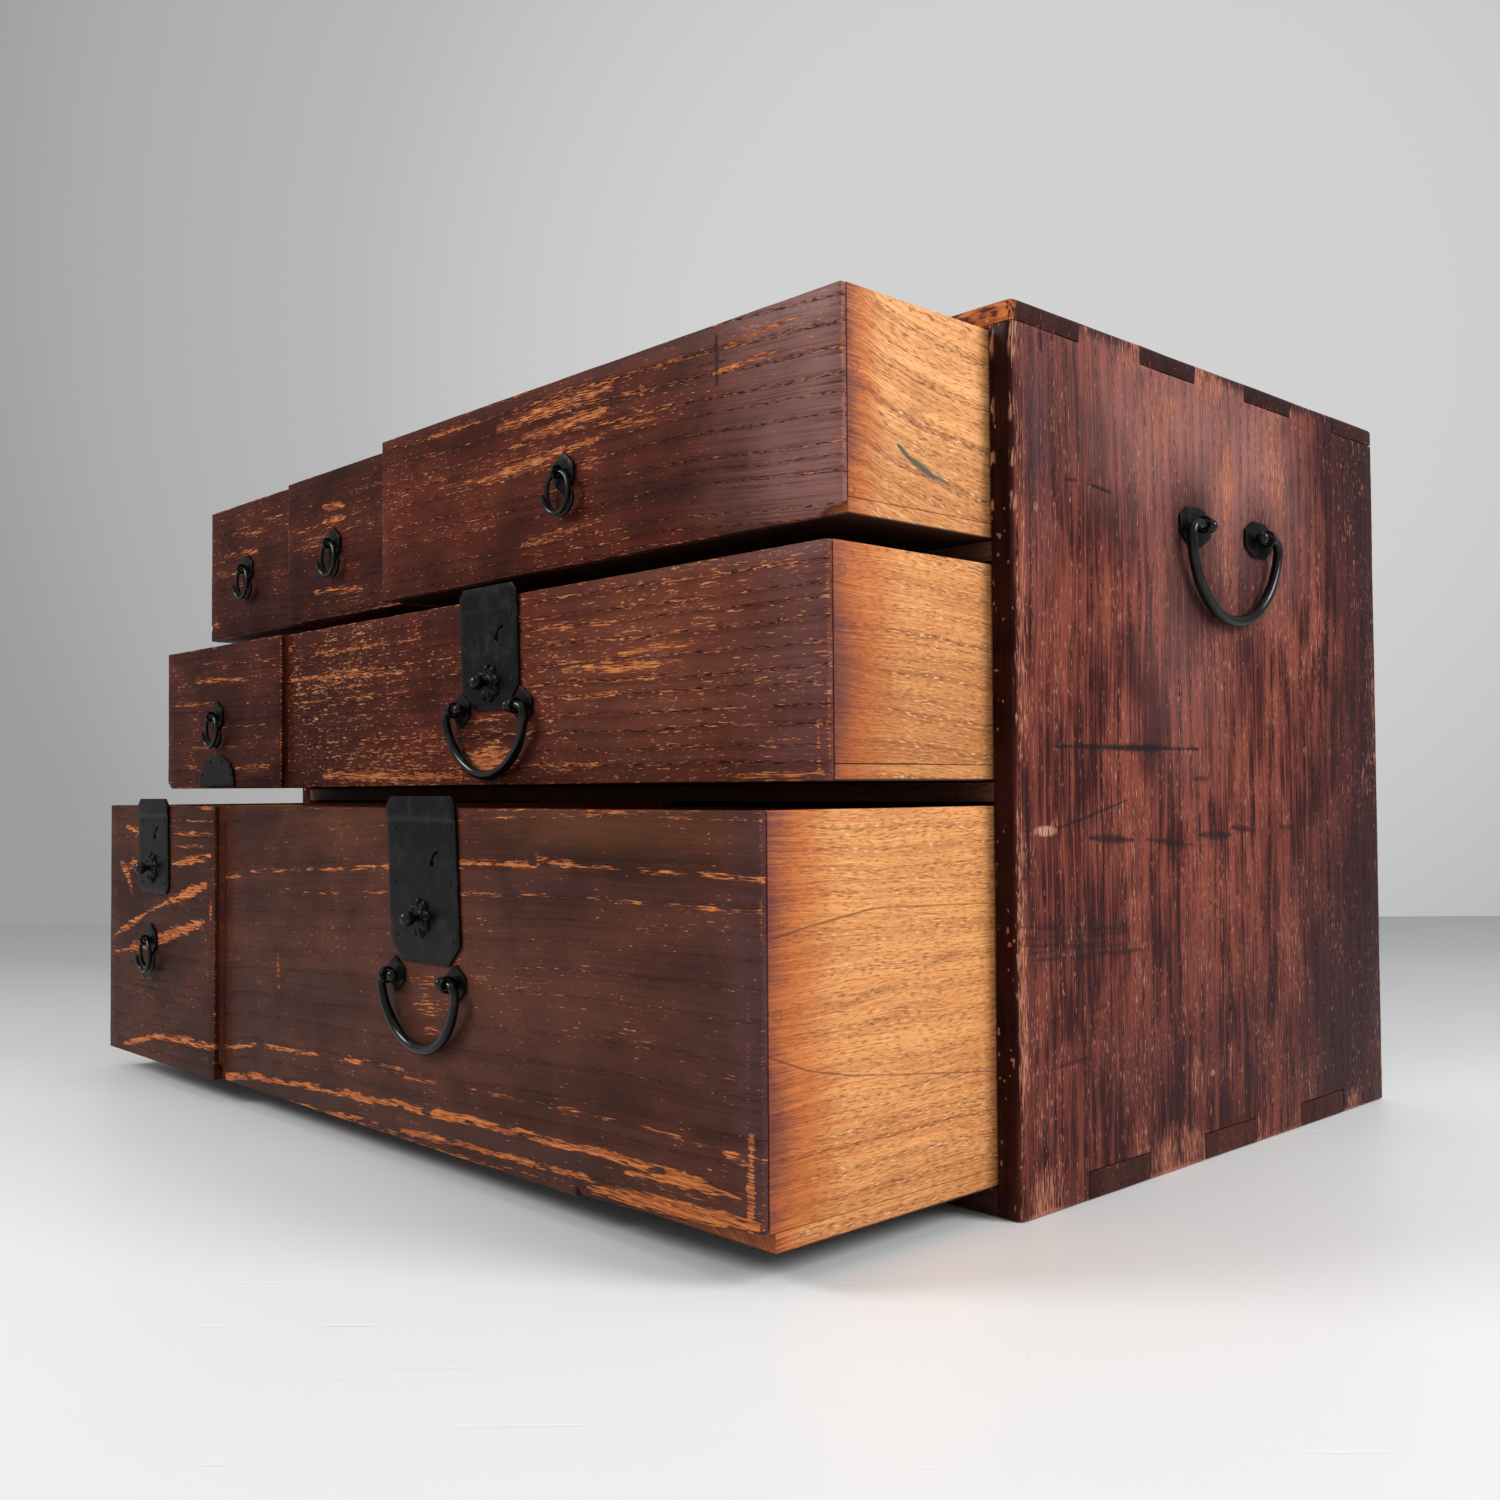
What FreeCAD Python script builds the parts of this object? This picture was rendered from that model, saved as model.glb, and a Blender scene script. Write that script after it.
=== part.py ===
import FreeCAD, Part
import math
import os
import re
import Sketcher
from FreeCAD import Rotation, Vector

# A small three-tier chest of drawers. The origin is the middle of the case's underside, +X runs
# to the right along the front, +Y runs back into the case and +Z is up. The seven drawers stand
# partly open by their own "pull", measured from flush with the front of the case.

doc = FreeCAD.newDocument("small_chest_of_drawers")
sheet = doc.addObject("Spreadsheet::Sheet", "sizes")

sizes = [
    ("case_width", 670, "over the two side boards"),
    ("case_depth", 357, "front edge to back edge of the side boards"),
    ("side_thickness", 13, "side boards"),
    ("top_thickness", 10, "top board"),
    ("bottom_thickness", 12.5, "bottom board"),
    ("shelf_thickness", 9, "the two full-depth shelves between the rows"),
    ("shelf_setback", 1, "shelf edge behind the front of the case"),
    ("housing_depth", 4, "how far a shelf is let into a side board"),
    ("back_thickness", 8, "back panel"),
    ("divider_thickness", 8, "upright between two drawers"),
    ("divider_clearance", 1, "divider behind the back of a closed drawer front"),
    ("finger_count", 7, "fingers in each corner joint of the case"),
    ("corner_round", 4, "front upright corners of the case"),
    ("rim_round", 2.5, "edges around the top"),
    ("bottom_row_height", 165.6, "fronts of the bottom row"),
    ("middle_row_height", 95.4, "fronts of the middle row"),
    ("top_row_height", 93.1, "fronts of the top row"),
    ("slide_clearance", 0.3, "under a drawer"),
    ("head_clearance", 1.5, "over a drawer front"),
    ("side_clearance", 0.7, "front to side board"),
    ("seam_gap", 1, "between two fronts of a row"),
    ("wall_clearance", 0.6, "drawer wall to divider"),
    ("back_clearance", 5, "closed drawer to back panel"),
    ("top_left_width", 131.4, "front of the top left drawer"),
    ("top_middle_width", 145.4, "front of the top middle drawer"),
    ("middle_left_width", 177.6, "front of the middle left drawer"),
    ("bottom_left_width", 171.4, "front of the bottom left drawer"),
    ("top_left_pull", 76, "how far the drawer stands open"),
    ("top_middle_pull", 81, "how far the drawer stands open"),
    ("top_right_pull", 94, "how far the drawer stands open"),
    ("middle_left_pull", 107, "how far the drawer stands open"),
    ("middle_right_pull", 103, "how far the drawer stands open"),
    ("bottom_left_pull", 146, "how far the drawer stands open"),
    ("bottom_right_pull", 140, "how far the drawer stands open"),
    ("front_thickness", 12, "drawer fronts"),
    ("front_lip", 3.5, "what is left of a front over the ends of the drawer walls"),
    ("front_round", 1.2, "upright edges of a drawer front"),
    ("wall_thickness", 8, "drawer sides and backs"),
    ("wall_drop", 5, "drawer back below the sides"),
    ("shallow_bottom_thickness", 7, "bottoms of the top and middle drawers"),
    ("deep_bottom_thickness", 8.3, "bottoms of the bottom drawers, seen below their fronts"),
    ("plate_thickness", 1.2, "iron plates"),
    ("pin_radius", 1.3, "legs of a split pin, side by side"),
    ("pin_clearance", 0.1, "split pin in its hole"),
    ("pin_tail", 6, "each leg of a split pin, bent over"),
    ("tail_thickness", 1.1, "bent leg of a split pin"),
    ("seat_gap", 0.3, "eye of a split pin to its plate"),
    ("ring_radius", 10.2, "pull ring, to the middle of its wire"),
    ("ring_wire_radius", 1.3, "pull ring's wire"),
    ("ring_clearance", 0.4, "ring in its eye"),
    ("ring_eye_wire", 0.9, "half the thickness of the eye"),
    ("ring_plate_width", 16.5, "pointed plate under a pull ring"),
    ("ring_plate_height", 21.6, "pointed plate under a pull ring"),
    ("ring_plate_flat", 8, "upright flanks of the pointed plate"),
    ("top_ring_height", 45.6, "ring's eye over the bottom of a top drawer"),
    ("middle_ring_height", 47.7, "ring's eye over the bottom of the middle left drawer"),
    ("bottom_ring_drop", 87.1, "ring's eye below the top of the bottom left front"),
    ("top_left_ring_shift", -3.4, "ring's eye from the middle of the front"),
    ("top_middle_ring_shift", -7.8, "ring's eye from the middle of the front"),
    ("top_right_ring_shift", -2.9, "ring's eye from the middle of the front"),
    ("middle_left_ring_shift", -3.5, "ring's eye from the middle of the front"),
    ("bottom_left_ring_shift", -10.4, "ring's eye from the middle of the front"),
    ("middle_bail_width", 78.4, "round of the middle right drawer's bail, outside"),
    ("bottom_bail_width", 75, "round of the bottom right drawer's bail, outside"),
    ("bail_depth", 34, "drawer bail, from its pivot to the middle of the rod"),
    ("bail_rod_radius", 2.6, "drawer bail"),
    ("bail_elbow", 5, "bend at the ends of a drawer bail"),
    ("bail_ball_radius", 3.2, "knobs on the ends of a drawer bail"),
    ("bail_eye_spacing", 56, "eyes of a drawer bail"),
    ("bail_plate_width", 16.6, "pointed plate under an eye"),
    ("bail_plate_height", 18.4, "pointed plate under an eye"),
    ("bail_plate_flat", 7, "upright flanks of the pointed plate"),
    ("middle_bail_drop", 56.4, "bail's pivot below the top of the middle right front"),
    ("middle_bail_shift", -3.3, "bail from the middle of the front"),
    ("bottom_bail_drop", 83.4, "bail's pivot below the top of the bottom right front"),
    ("bottom_bail_shift", -2, "bail from the middle of the front"),
    ("handle_width", 95, "round of a carrying handle, outside"),
    ("handle_depth", 46, "carrying handle, from its pivot to the middle of the rod"),
    ("handle_rod_radius", 2.9, "carrying handle"),
    ("handle_elbow", 6, "bend at the ends of a carrying handle"),
    ("handle_ball_radius", 3.7, "knobs on the ends of a carrying handle"),
    ("handle_eye_spacing", 65, "eyes of a carrying handle"),
    ("handle_plate_width", 29, "eight-sided plate under an eye"),
    ("handle_plate_height", 19, "eight-sided plate under an eye"),
    ("handle_plate_flat", 9, "upright flanks of the eight-sided plate"),
    ("handle_plate_crown", 13, "level edges of the eight-sided plate"),
    ("handle_drop", 83, "handle's pivot below the top of the case"),
    ("handle_shift", 3.8, "handle behind the middle of the side"),
    ("eye_clearance", 0.35, "rod in its eye"),
    ("eye_strip", 1.2, "iron strip of an eye"),
    ("eye_length", 3, "eye, along the rod"),
    ("ball_gap", 0.8, "end knob to the eye"),
    ("bottom_right_lock_width", 64, "lock plate"),
    ("bottom_right_lock_length", 81.4, "lock plate, with the tab above the front"),
    ("bottom_right_lock_tab", 5.5, "what stands above the front"),
    ("bottom_right_lock_lean", 4.5, "how far the foot of the plate leans to the right"),
    ("bottom_right_lock_foot", 10, "cut at the lower corners"),
    ("bottom_right_lock_shift", -4, "lock from the middle of the front"),
    ("bottom_right_knob_drop", 54, "knob below the top of the front"),
    ("bottom_right_knob_shift", -1.5, "knob from the middle of the plate"),
    ("bottom_right_key_drop", 27, "keyhole below the top of the front"),
    ("bottom_right_key_shift", 9.3, "keyhole from the middle of the plate"),
    ("middle_right_lock_width", 52, "lock plate"),
    ("middle_right_lock_length", 63, "lock plate, with the tab above the front"),
    ("middle_right_lock_tab", 5.8, "what stands above the front"),
    ("middle_right_lock_lean", 1.5, "how far the foot of the plate leans to the right"),
    ("middle_right_lock_foot", 12, "cut at the lower corners"),
    ("middle_right_lock_shift", -4.8, "lock from the middle of the front"),
    ("middle_right_knob_drop", 43.6, "knob below the top of the front"),
    ("middle_right_knob_shift", 0.5, "knob from the middle of the plate"),
    ("middle_right_key_drop", 21, "keyhole below the top of the front"),
    ("middle_right_key_shift", 7.5, "keyhole from the middle of the plate"),
    ("bottom_left_lock_width", 48.6, "lock plate"),
    ("bottom_left_lock_length", 61, "lock plate, with the tab above the front"),
    ("bottom_left_lock_tab", 4.3, "what stands above the front"),
    ("bottom_left_lock_lean", 1.5, "how far the foot of the plate leans to the right"),
    ("bottom_left_lock_foot", 4.5, "cut at the lower corners"),
    ("bottom_left_lock_shift", -6.8, "lock from the middle of the front"),
    ("bottom_left_knob_drop", 40.4, "knob below the top of the front"),
    ("bottom_left_knob_shift", -2, "knob from the middle of the plate"),
    ("bottom_left_key_drop", 20, "keyhole below the top of the front"),
    ("bottom_left_key_shift", 3, "keyhole from the middle of the plate"),
    ("lock_clip", 4, "cut at the upper corners of a lock plate"),
    ("nail_radius", 0.6, "nail's shank"),
    ("nail_head_radius", 1.3, "domed head of a nail"),
    ("nail_length", 7, "nail in the wood"),
    ("nail_margin", 6, "nails from the sides of a lock plate"),
    ("nail_drop", 10, "upper nails below the top of the front"),
    ("rosette_radius", 10, "flower around a lock's knob"),
    ("rosette_height", 2.2, "flower around a lock's knob"),
    ("petal_count", 8, "petals of the flower"),
    ("petal_radius", 2.5, "each petal"),
    ("knob_radius", 3.9, "lock's knob"),
    ("knob_stand", 7.2, "middle of the knob off the lock plate"),
    ("knob_stem_radius", 1.8, "knob's stem"),
    ("stem_clearance", 0.3, "stem in its hole"),
    ("flange_radius", 3.4, "collar that keeps the knob in"),
    ("flange_thickness", 1.2, "collar that keeps the knob in"),
    ("keyhole_radius", 1.9, "round end of a keyhole"),
    ("keyhole_bend", 5.5, "curve of a keyhole's slit"),
    ("keyhole_slit", 1.6, "width of the slit"),
    ("lock_case_width", 40, "lock's box behind the front"),
    ("lock_case_depth", 10, "lock's box behind the front"),
    ("lock_case_wall", 1.2, "iron of the lock's box"),
    ("lock_case_sink", 1, "lock's box below the top of the front"),
    ("lock_case_margin", 8, "lock's box below the knob"),
    ("bolt_width", 14, "lock's bolt"),
    ("bolt_thickness", 3, "lock's bolt"),
    ("bolt_length", 26, "lock's bolt"),
    ("bolt_travel", 6, "rise of the bolt"),
    ("bolt_clearance", 0.3, "bolt in its slot"),
    ("bolt_show", 0.5, "bolt above its box when it is down"),
    ("mortise_clearance", 1.5, "around a raised bolt"),
    ("spring_radius", 8, "bowed leaf spring under a bolt, outside"),
    ("spring_leaf", 0.8, "thickness of the spring"),
    ("spring_width", 2.6, "spring, front to back"),
    ("keeper_width", 56, "half-round plate on the middle left drawer"),
    ("keeper_height", 22, "half-round plate on the middle left drawer"),
    ("keeper_shoulder", 12, "height of its shoulders"),
    ("keeper_crown", 30, "width of its crown"),
    ("keeper_slope", 3, "how far the shoulders stand in"),
    ("keeper_shift", -4.5, "half-round plate from the middle of the front"),
]

for line, (alias, value, meaning) in enumerate(sizes, 1):
    sheet.set(f"A{line}", alias)
    sheet.set(f"B{line}", str(value))
    sheet.setAlias(f"B{line}", alias)
    sheet.set(f"C{line}", meaning)
doc.recompute()

OUTWARD = Rotation(Vector(1, 0, 0), 90)     # a cylinder's axis turned to -Y, out of a front
INWARD = Rotation(Vector(1, 0, 0), -90)     # and to +Y, into the wood
ACROSS = Rotation(Vector(0, 1, 0), 90)      # and to +X
UPRIGHT = Rotation()
RIGHT_SIDE = Rotation(Vector(0, 0, 1), 90)  # turns a fitting for the front onto the right side
LEFT_SIDE = Rotation(Vector(0, 0, 1), -90)

# how far the loose irons hang in towards the wood they rest on, degrees
RING_LEAN, BAIL_LEAN, HANDLE_LEAN = 7, 3.5, 2.5

nodes = []


def bound(text):
    """Every word with an underscore is a size in the sheet."""
    return re.sub(r"\b([a-z]+(?:_[a-z]+)+)\b", r"sizes.\1", text)


def number(text):
    return float(sheet.evalExpression(bound(text)))


def bind(thing, prop, text):
    thing.setExpression(prop, bound(text))


def place(thing, x="0", y="0", z="0", turn=None):
    if turn is not None:
        thing.Placement.Rotation = turn
    for axis, text in zip("xyz", (x, y, z)):
        if text != "0":
            bind(thing, "Placement.Base." + axis, text)
    return thing


def block(name, length, width, height, x="0", y="0", z="0"):
    thing = doc.addObject("Part::Box", name)
    bind(thing, "Length", length)
    bind(thing, "Width", width)
    bind(thing, "Height", height)
    return place(thing, x, y, z)


def rod(name, radius, length, x="0", y="0", z="0", turn=OUTWARD):
    thing = doc.addObject("Part::Cylinder", name)
    bind(thing, "Radius", radius)
    bind(thing, "Height", length)
    return place(thing, x, y, z, turn)


def ball(name, radius, x="0", y="0", z="0"):
    thing = doc.addObject("Part::Sphere", name)
    bind(thing, "Radius", radius)
    return place(thing, x, y, z)


def hoop(name, radius, wire, x="0", y="0", z="0", turn=OUTWARD):
    thing = doc.addObject("Part::Torus", name)
    bind(thing, "Radius1", radius)
    bind(thing, "Radius2", wire)
    return place(thing, x, y, z, turn)


def group(name, *things):
    thing = doc.addObject("Part::Compound", name)
    thing.Links = list(things)
    return thing


def fuse(name, *things):
    thing = doc.addObject("Part::MultiFuse", name)
    thing.Shapes = list(things)
    thing.Refine = True
    return thing


def cut(name, base, *tools):
    thing = doc.addObject("Part::Cut", name)
    thing.Base = base
    thing.Tool = tools[0] if len(tools) == 1 else group(name + "_tools", *tools)
    thing.Refine = True
    return thing


def node(label, thing):
    thing.Label = label
    nodes.append(thing)
    return thing


def sketch_on(body, role, name):
    sketch = body.newObject("Sketcher::SketchObject", name)
    plane = next(f for f in body.Origin.OriginFeatures if f.Role == role)
    sketch.AttachmentSupport = (plane, "")
    sketch.MapMode = "FlatFace"
    return sketch


def fix_point(sketch, edge, end, x, y):
    """Hold one point of a sketch at a place worked out from the sheet."""
    for kind, axis, text in (("DistanceX", -2, x), ("DistanceY", -1, y)):
        if text == "0":
            sketch.addConstraint(Sketcher.Constraint("PointOnObject", edge, end, axis))
        else:
            rule = Sketcher.Constraint(kind, -1, 1, edge, end, number(text))
            index = sketch.addConstraint(rule)
            bind(sketch, f"Constraints[{index}]", text)


def plate(name, corners):
    """A flat iron plate on the XZ plane, standing out of it along -Y."""
    body = doc.addObject("PartDesign::Body", name)
    sketch = sketch_on(body, "XZ_Plane", name + "_outline")
    points = [Vector(number(x), number(y), 0) for x, y in corners]
    for index, point in enumerate(points):
        after = points[(index + 1) % len(points)]
        sketch.addGeometry(Part.LineSegment(point, after))
    for index in range(len(points)):
        after = (index + 1) % len(points)
        sketch.addConstraint(Sketcher.Constraint("Coincident", index, 2, after, 1))
    for index, (x, y) in enumerate(corners):
        fix_point(sketch, index, 1, x, y)
    pad = body.newObject("PartDesign::Pad", name + "_pad")
    pad.Profile = sketch
    bind(pad, "Length", "plate_thickness")
    body.Tip = pad
    return body


def pointed(width, height, flat):
    """Six corners: points above and below, upright flanks."""
    return [
        ("0", f"{height}/2"), (f"-{width}/2", f"{flat}/2"), (f"-{width}/2", f"-{flat}/2"),
        ("0", f"-{height}/2"), (f"{width}/2", f"-{flat}/2"), (f"{width}/2", f"{flat}/2"),
    ]


def eight_sided(width, height, flat, crown):
    return [
        (f"{crown}/2", f"{height}/2"), (f"-{crown}/2", f"{height}/2"),
        (f"-{width}/2", f"{flat}/2"), (f"-{width}/2", f"-{flat}/2"),
        (f"-{crown}/2", f"-{height}/2"), (f"{crown}/2", f"-{height}/2"),
        (f"{width}/2", f"-{flat}/2"), (f"{width}/2", f"{flat}/2"),
    ]


# ---- heights and seams of the three rows ----

low_floor = "bottom_thickness + slide_clearance"
lower_shelf_z = low_floor + " + bottom_row_height + head_clearance"
middle_floor = lower_shelf_z + " + shelf_thickness + slide_clearance"
upper_shelf_z = middle_floor + " + middle_row_height + head_clearance"
top_floor = upper_shelf_z + " + shelf_thickness + slide_clearance"
top_board_z = top_floor + " + top_row_height + head_clearance"
case_height = top_board_z + " + top_thickness"

row_left = "-case_width/2 + side_thickness + side_clearance"
row_right = "case_width/2 - side_thickness - side_clearance"
top_left_seam = row_left + " + top_left_width + seam_gap/2"
top_right_seam = top_left_seam + " + seam_gap + top_middle_width"
middle_seam = row_left + " + middle_left_width + seam_gap/2"
bottom_seam = row_left + " + bottom_left_width + seam_gap/2"

drawer_length = "(case_depth - back_thickness - back_clearance)"


# ---- split pins, plates, rings and bails, each about its own pivot's foot on the wood ----

def pin_legs(name, start, board):
    """Legs of a split pin from inside its eye through the board, bent over behind it."""
    stem = rod(name + "_stem", "pin_radius", f"{start} + {board} + tail_thickness",
               y=f"-({start})", turn=INWARD)
    tails = block(name + "_tails", "2*pin_radius", "tail_thickness", "2*pin_tail",
                  "-pin_radius", board, "-pin_tail")
    return stem, tails


def pin_hole(name, board):
    """The hole for a pin, through plate and board."""
    return rod(name + "_bore", "pin_radius + pin_clearance", f"{board} + 4*plate_thickness",
               y="-2*plate_thickness", turn=INWARD)


ring_eye_radius = "(ring_wire_radius + ring_clearance + ring_eye_wire)"
ring_proud = "(plate_thickness + seat_gap + ring_wire_radius + ring_clearance + 2*ring_eye_wire)"


def eye_outside(rod_radius):
    return f"({rod_radius} + eye_clearance + eye_strip)"


def proud(rod_radius):
    return f"(plate_thickness + seat_gap + {eye_outside(rod_radius)})"


def ring_mount(name, x, y, z):
    """Pointed plate with a split pin whose eye carries a pull ring."""
    face = cut(name + "_face",
               plate(name + "_plate", pointed("ring_plate_width", "ring_plate_height",
                                              "ring_plate_flat")),
               pin_hole(name + "_plate_hole", "front_thickness"))
    eye = hoop(name + "_loop", ring_eye_radius, "ring_eye_wire", y=f"-{ring_proud}", turn=ACROSS)
    start = f"{ring_proud} - {ring_eye_radius}"
    pin = fuse(name + "_pin", eye, *pin_legs(name, start, "front_thickness"))
    hole = place(group(name + "_hole", pin_hole(name, "front_thickness")), x, y, z)
    node(name, place(group(name + "_set", face, pin), x, y, z))
    return hole


def pull_ring(name, x, y, z):
    node(name, hoop(name + "_wire", "ring_radius", "ring_wire_radius", x,
                    f"{y} - {ring_proud} + ring_radius*sin({RING_LEAN})",
                    f"{z} - ring_radius*cos({RING_LEAN})",
                    Rotation(Vector(1, 0, 0), RING_LEAN) * OUTWARD))


def eye_pair(name, spacing, rod_radius, corners, board, sink, turn, x, y, z):
    """Two plates with two split pins, and the holes that the pins need."""
    plates, pins, holes = [], [], []
    outside = eye_outside(rod_radius)
    depth = f"({board} - {sink})"
    for tag, side in (("first", "-"), ("second", "")):
        part = f"{name}_{tag}"
        middle = f"{side}{spacing}/2"
        face = cut(part + "_face", plate(part + "_plate", corners),
                   pin_hole(part + "_plate_hole", board))
        shell = cut(part + "_loop",
                    rod(part + "_strip", outside, "eye_length", "-eye_length/2",
                        f"-{proud(rod_radius)}", turn=ACROSS),
                    rod(part + "_opening", f"{rod_radius} + eye_clearance", "2*eye_length",
                        "-eye_length", f"-{proud(rod_radius)}", turn=ACROSS))
        start = f"(plate_thickness + seat_gap + eye_strip/2)"
        pin = fuse(part + "_pin", shell, *pin_legs(part, start, depth))
        room = block(part + "_recess", "2*(pin_radius + pin_clearance)", board,
                     "2*(pin_tail + pin_clearance)", "-pin_radius - pin_clearance", depth,
                     "-pin_tail - pin_clearance")
        hollow = group(part + "_hole", pin_hole(part, board), room)
        for thing, pile in ((face, plates), (pin, pins), (hollow, holes)):
            pile.append(place(thing, x=middle))
    hole = place(group(name + "_holes", *holes), x, y, z, turn)
    node(name, place(group(name + "_set", *plates, *pins), x, y, z, turn))
    return hole


def bail(name, width, depth, rod_radius, elbow, ball_radius, spacing, turn, lean, x, y, z):
    """A C-shaped rod whose ends turn in through two eyes and end in small knobs."""
    loop = f"({width}/2 - {rod_radius})"
    rise = f"{loop} - {depth}"
    tip = f"({spacing}/2 - eye_length/2 - ball_gap - {ball_radius})"
    big, small, lift = number(loop), number(elbow), number(rise)
    reach = math.sqrt((big - small) ** 2 - (lift + small) ** 2)
    dip = math.asin((lift + small) / (big - small))
    end = number(tip)

    body = doc.addObject("PartDesign::Body", name + "_rod")
    path = sketch_on(body, "XZ_Plane", name + "_path")
    up = Vector(0, 0, 1)
    right = Part.Circle(Vector(reach, -small, 0), up, small)
    left = Part.Circle(Vector(-reach, -small, 0), up, small)
    round_loop = Part.Circle(Vector(0, lift, 0), up, big)
    path.addGeometry(Part.LineSegment(Vector(end, 0, 0), Vector(reach, 0, 0)))
    path.addGeometry(Part.ArcOfCircle(right, -dip, math.pi / 2))
    path.addGeometry(Part.ArcOfCircle(round_loop, math.pi + dip, 2 * math.pi - dip))
    path.addGeometry(Part.ArcOfCircle(left, math.pi / 2, math.pi + dip))
    path.addGeometry(Part.LineSegment(Vector(-reach, 0, 0), Vector(-end, 0, 0)))
    for one, one_end, other, other_end in ((0, 2, 1, 2), (1, 1, 2, 2), (2, 1, 3, 2), (3, 1, 4, 1)):
        path.addConstraint(Sketcher.Constraint("Tangent", one, one_end, other, other_end))
    path.addConstraint(Sketcher.Constraint("Horizontal", 0))
    path.addConstraint(Sketcher.Constraint("Horizontal", 4))
    fix_point(path, 0, 1, tip, "0")
    fix_point(path, 4, 2, "-" + tip, "0")
    fix_point(path, 2, 3, "0", rise)
    path.addConstraint(Sketcher.Constraint("Equal", 1, 3))
    for edge, text in ((2, loop), (1, elbow)):
        index = path.addConstraint(Sketcher.Constraint("Radius", edge, number(text)))
        bind(path, f"Constraints[{index}]", text)

    section = sketch_on(body, "YZ_Plane", name + "_section")
    bind(section, "AttachmentOffset.Base.z", tip)
    section.addGeometry(Part.Circle(Vector(0, 0, 0), up, number(rod_radius)))
    section.addConstraint(Sketcher.Constraint("Coincident", 0, 3, -1, 1))
    index = section.addConstraint(Sketcher.Constraint("Radius", 0, number(rod_radius)))
    bind(section, f"Constraints[{index}]", rod_radius)
    doc.recompute()
    pipe = body.newObject("PartDesign::AdditivePipe", name + "_pipe")
    pipe.Profile = section
    pipe.Spine = (path, [])
    body.Tip = pipe

    knobs = [ball(f"{name}_{tag}_knob", ball_radius, x=f"{sign}{tip}")
             for tag, sign in (("first", "-"), ("second", ""))]
    return node(name, place(fuse(name + "_whole", body, *knobs), x, y, z,
                            turn * Rotation(Vector(1, 0, 0), lean)))


# ---- the case ----

segment = "case_depth/finger_count"
fingers = int(number("finger_count"))


def finger_notches(name, height, z, odd):
    """Notches for every other finger, over the full width of both side boards."""
    tools = []
    for index in range(1 if odd else 0, fingers, 2):
        y = f"-case_depth/2 + {index}*{segment}"
        for tag, x in (("left", "-case_width/2 - side_thickness"),
                       ("right", "case_width/2 - side_thickness")):
            tools.append(block(f"{name}_{tag}_notch_{index}", "2*side_thickness", segment,
                               height, x, y, z))
    return tools


envelope_box = block("case_envelope", "case_width", "case_depth", case_height,
                     "-case_width/2", "-case_depth/2")
doc.recompute()
envelope = doc.addObject("Part::Fillet", "case_outside")
envelope.Base = envelope_box
front_y = number("-case_depth/2")
roof_z = number(case_height)
rounds = []
for index, edge in enumerate(envelope_box.Shape.Edges, 1):
    ends = [vertex.Point for vertex in edge.Vertexes]
    if all(abs(point.z - roof_z) < 0.01 for point in ends):
        rounds.append((index, number("rim_round"), number("rim_round")))
    elif all(abs(point.y - front_y) < 0.01 for point in ends) and ends[0].z != ends[1].z:
        rounds.append((index, number("corner_round"), number("corner_round")))
envelope.Edges = rounds


def inside_envelope(name, board):
    thing = doc.addObject("Part::MultiCommon", name)
    thing.Shapes = [board, envelope]
    return thing


def case_boards(shelves, side_holes):
    top = block("top_blank", "case_width", "case_depth", "top_thickness",
                "-case_width/2", "-case_depth/2", top_board_z)
    over = finger_notches("top", "3*top_thickness", f"{top_board_z} - top_thickness", True)
    node("case_top", inside_envelope("top_rounded", cut("top_notched", top, *over)))

    bottom = block("bottom_blank", "case_width", "case_depth", "bottom_thickness",
                   "-case_width/2", "-case_depth/2")
    under = finger_notches("bottom", "3*bottom_thickness", "-bottom_thickness", False)
    node("case_bottom", inside_envelope("bottom_rounded", cut("bottom_notched", bottom, *under)))

    for tag, x in (("left", "-case_width/2"), ("right", "case_width/2 - side_thickness")):
        side = block(f"{tag}_side_blank", "side_thickness", "case_depth", case_height,
                     x, "-case_depth/2")
        notches = finger_notches(f"{tag}_side_head", "2*top_thickness", top_board_z, False)
        notches += finger_notches(f"{tag}_side_foot", "2*bottom_thickness", "-bottom_thickness", True)
        board = cut(f"{tag}_side_notched", side, *notches, *shelves, side_holes[tag])
        node(f"case_{tag}_side", inside_envelope(f"{tag}_side_rounded", board))

    node("case_back", block("back_blank", "case_width - 2*side_thickness", "back_thickness",
                            f"{case_height} - top_thickness - bottom_thickness",
                            "-case_width/2 + side_thickness", "case_depth/2 - back_thickness",
                            "bottom_thickness"))


def shelf(name, z, mortises):
    length = "case_width - 2*side_thickness + 2*housing_depth"
    blank = block(name + "_blank", length, "case_depth - back_thickness - shelf_setback",
                  "shelf_thickness", "-case_width/2 + side_thickness - housing_depth",
                  "-case_depth/2 + shelf_setback", z)
    return node(name, cut(name + "_mortised", blank, *mortises))


def dividers():
    setback = "front_thickness + divider_clearance"
    uprights = []
    for tag, seam, shelf_top, height in (
            ("top_left", top_left_seam, top_floor, "top_row_height"),
            ("top_right", top_right_seam, top_floor, "top_row_height"),
            ("middle", middle_seam, middle_floor, "middle_row_height"),
            ("bottom", bottom_seam, low_floor, "bottom_row_height")):
        uprights.append(block(tag + "_divider", "divider_thickness",
                              f"case_depth - back_thickness - ({setback})",
                              f"{height} + slide_clearance + head_clearance",
                              f"{seam} - divider_thickness/2", f"-case_depth/2 + {setback}",
                              f"{shelf_top} - slide_clearance"))
    node("drawer_dividers", group("divider_set", *uprights))


# ---- locks ----

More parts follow.
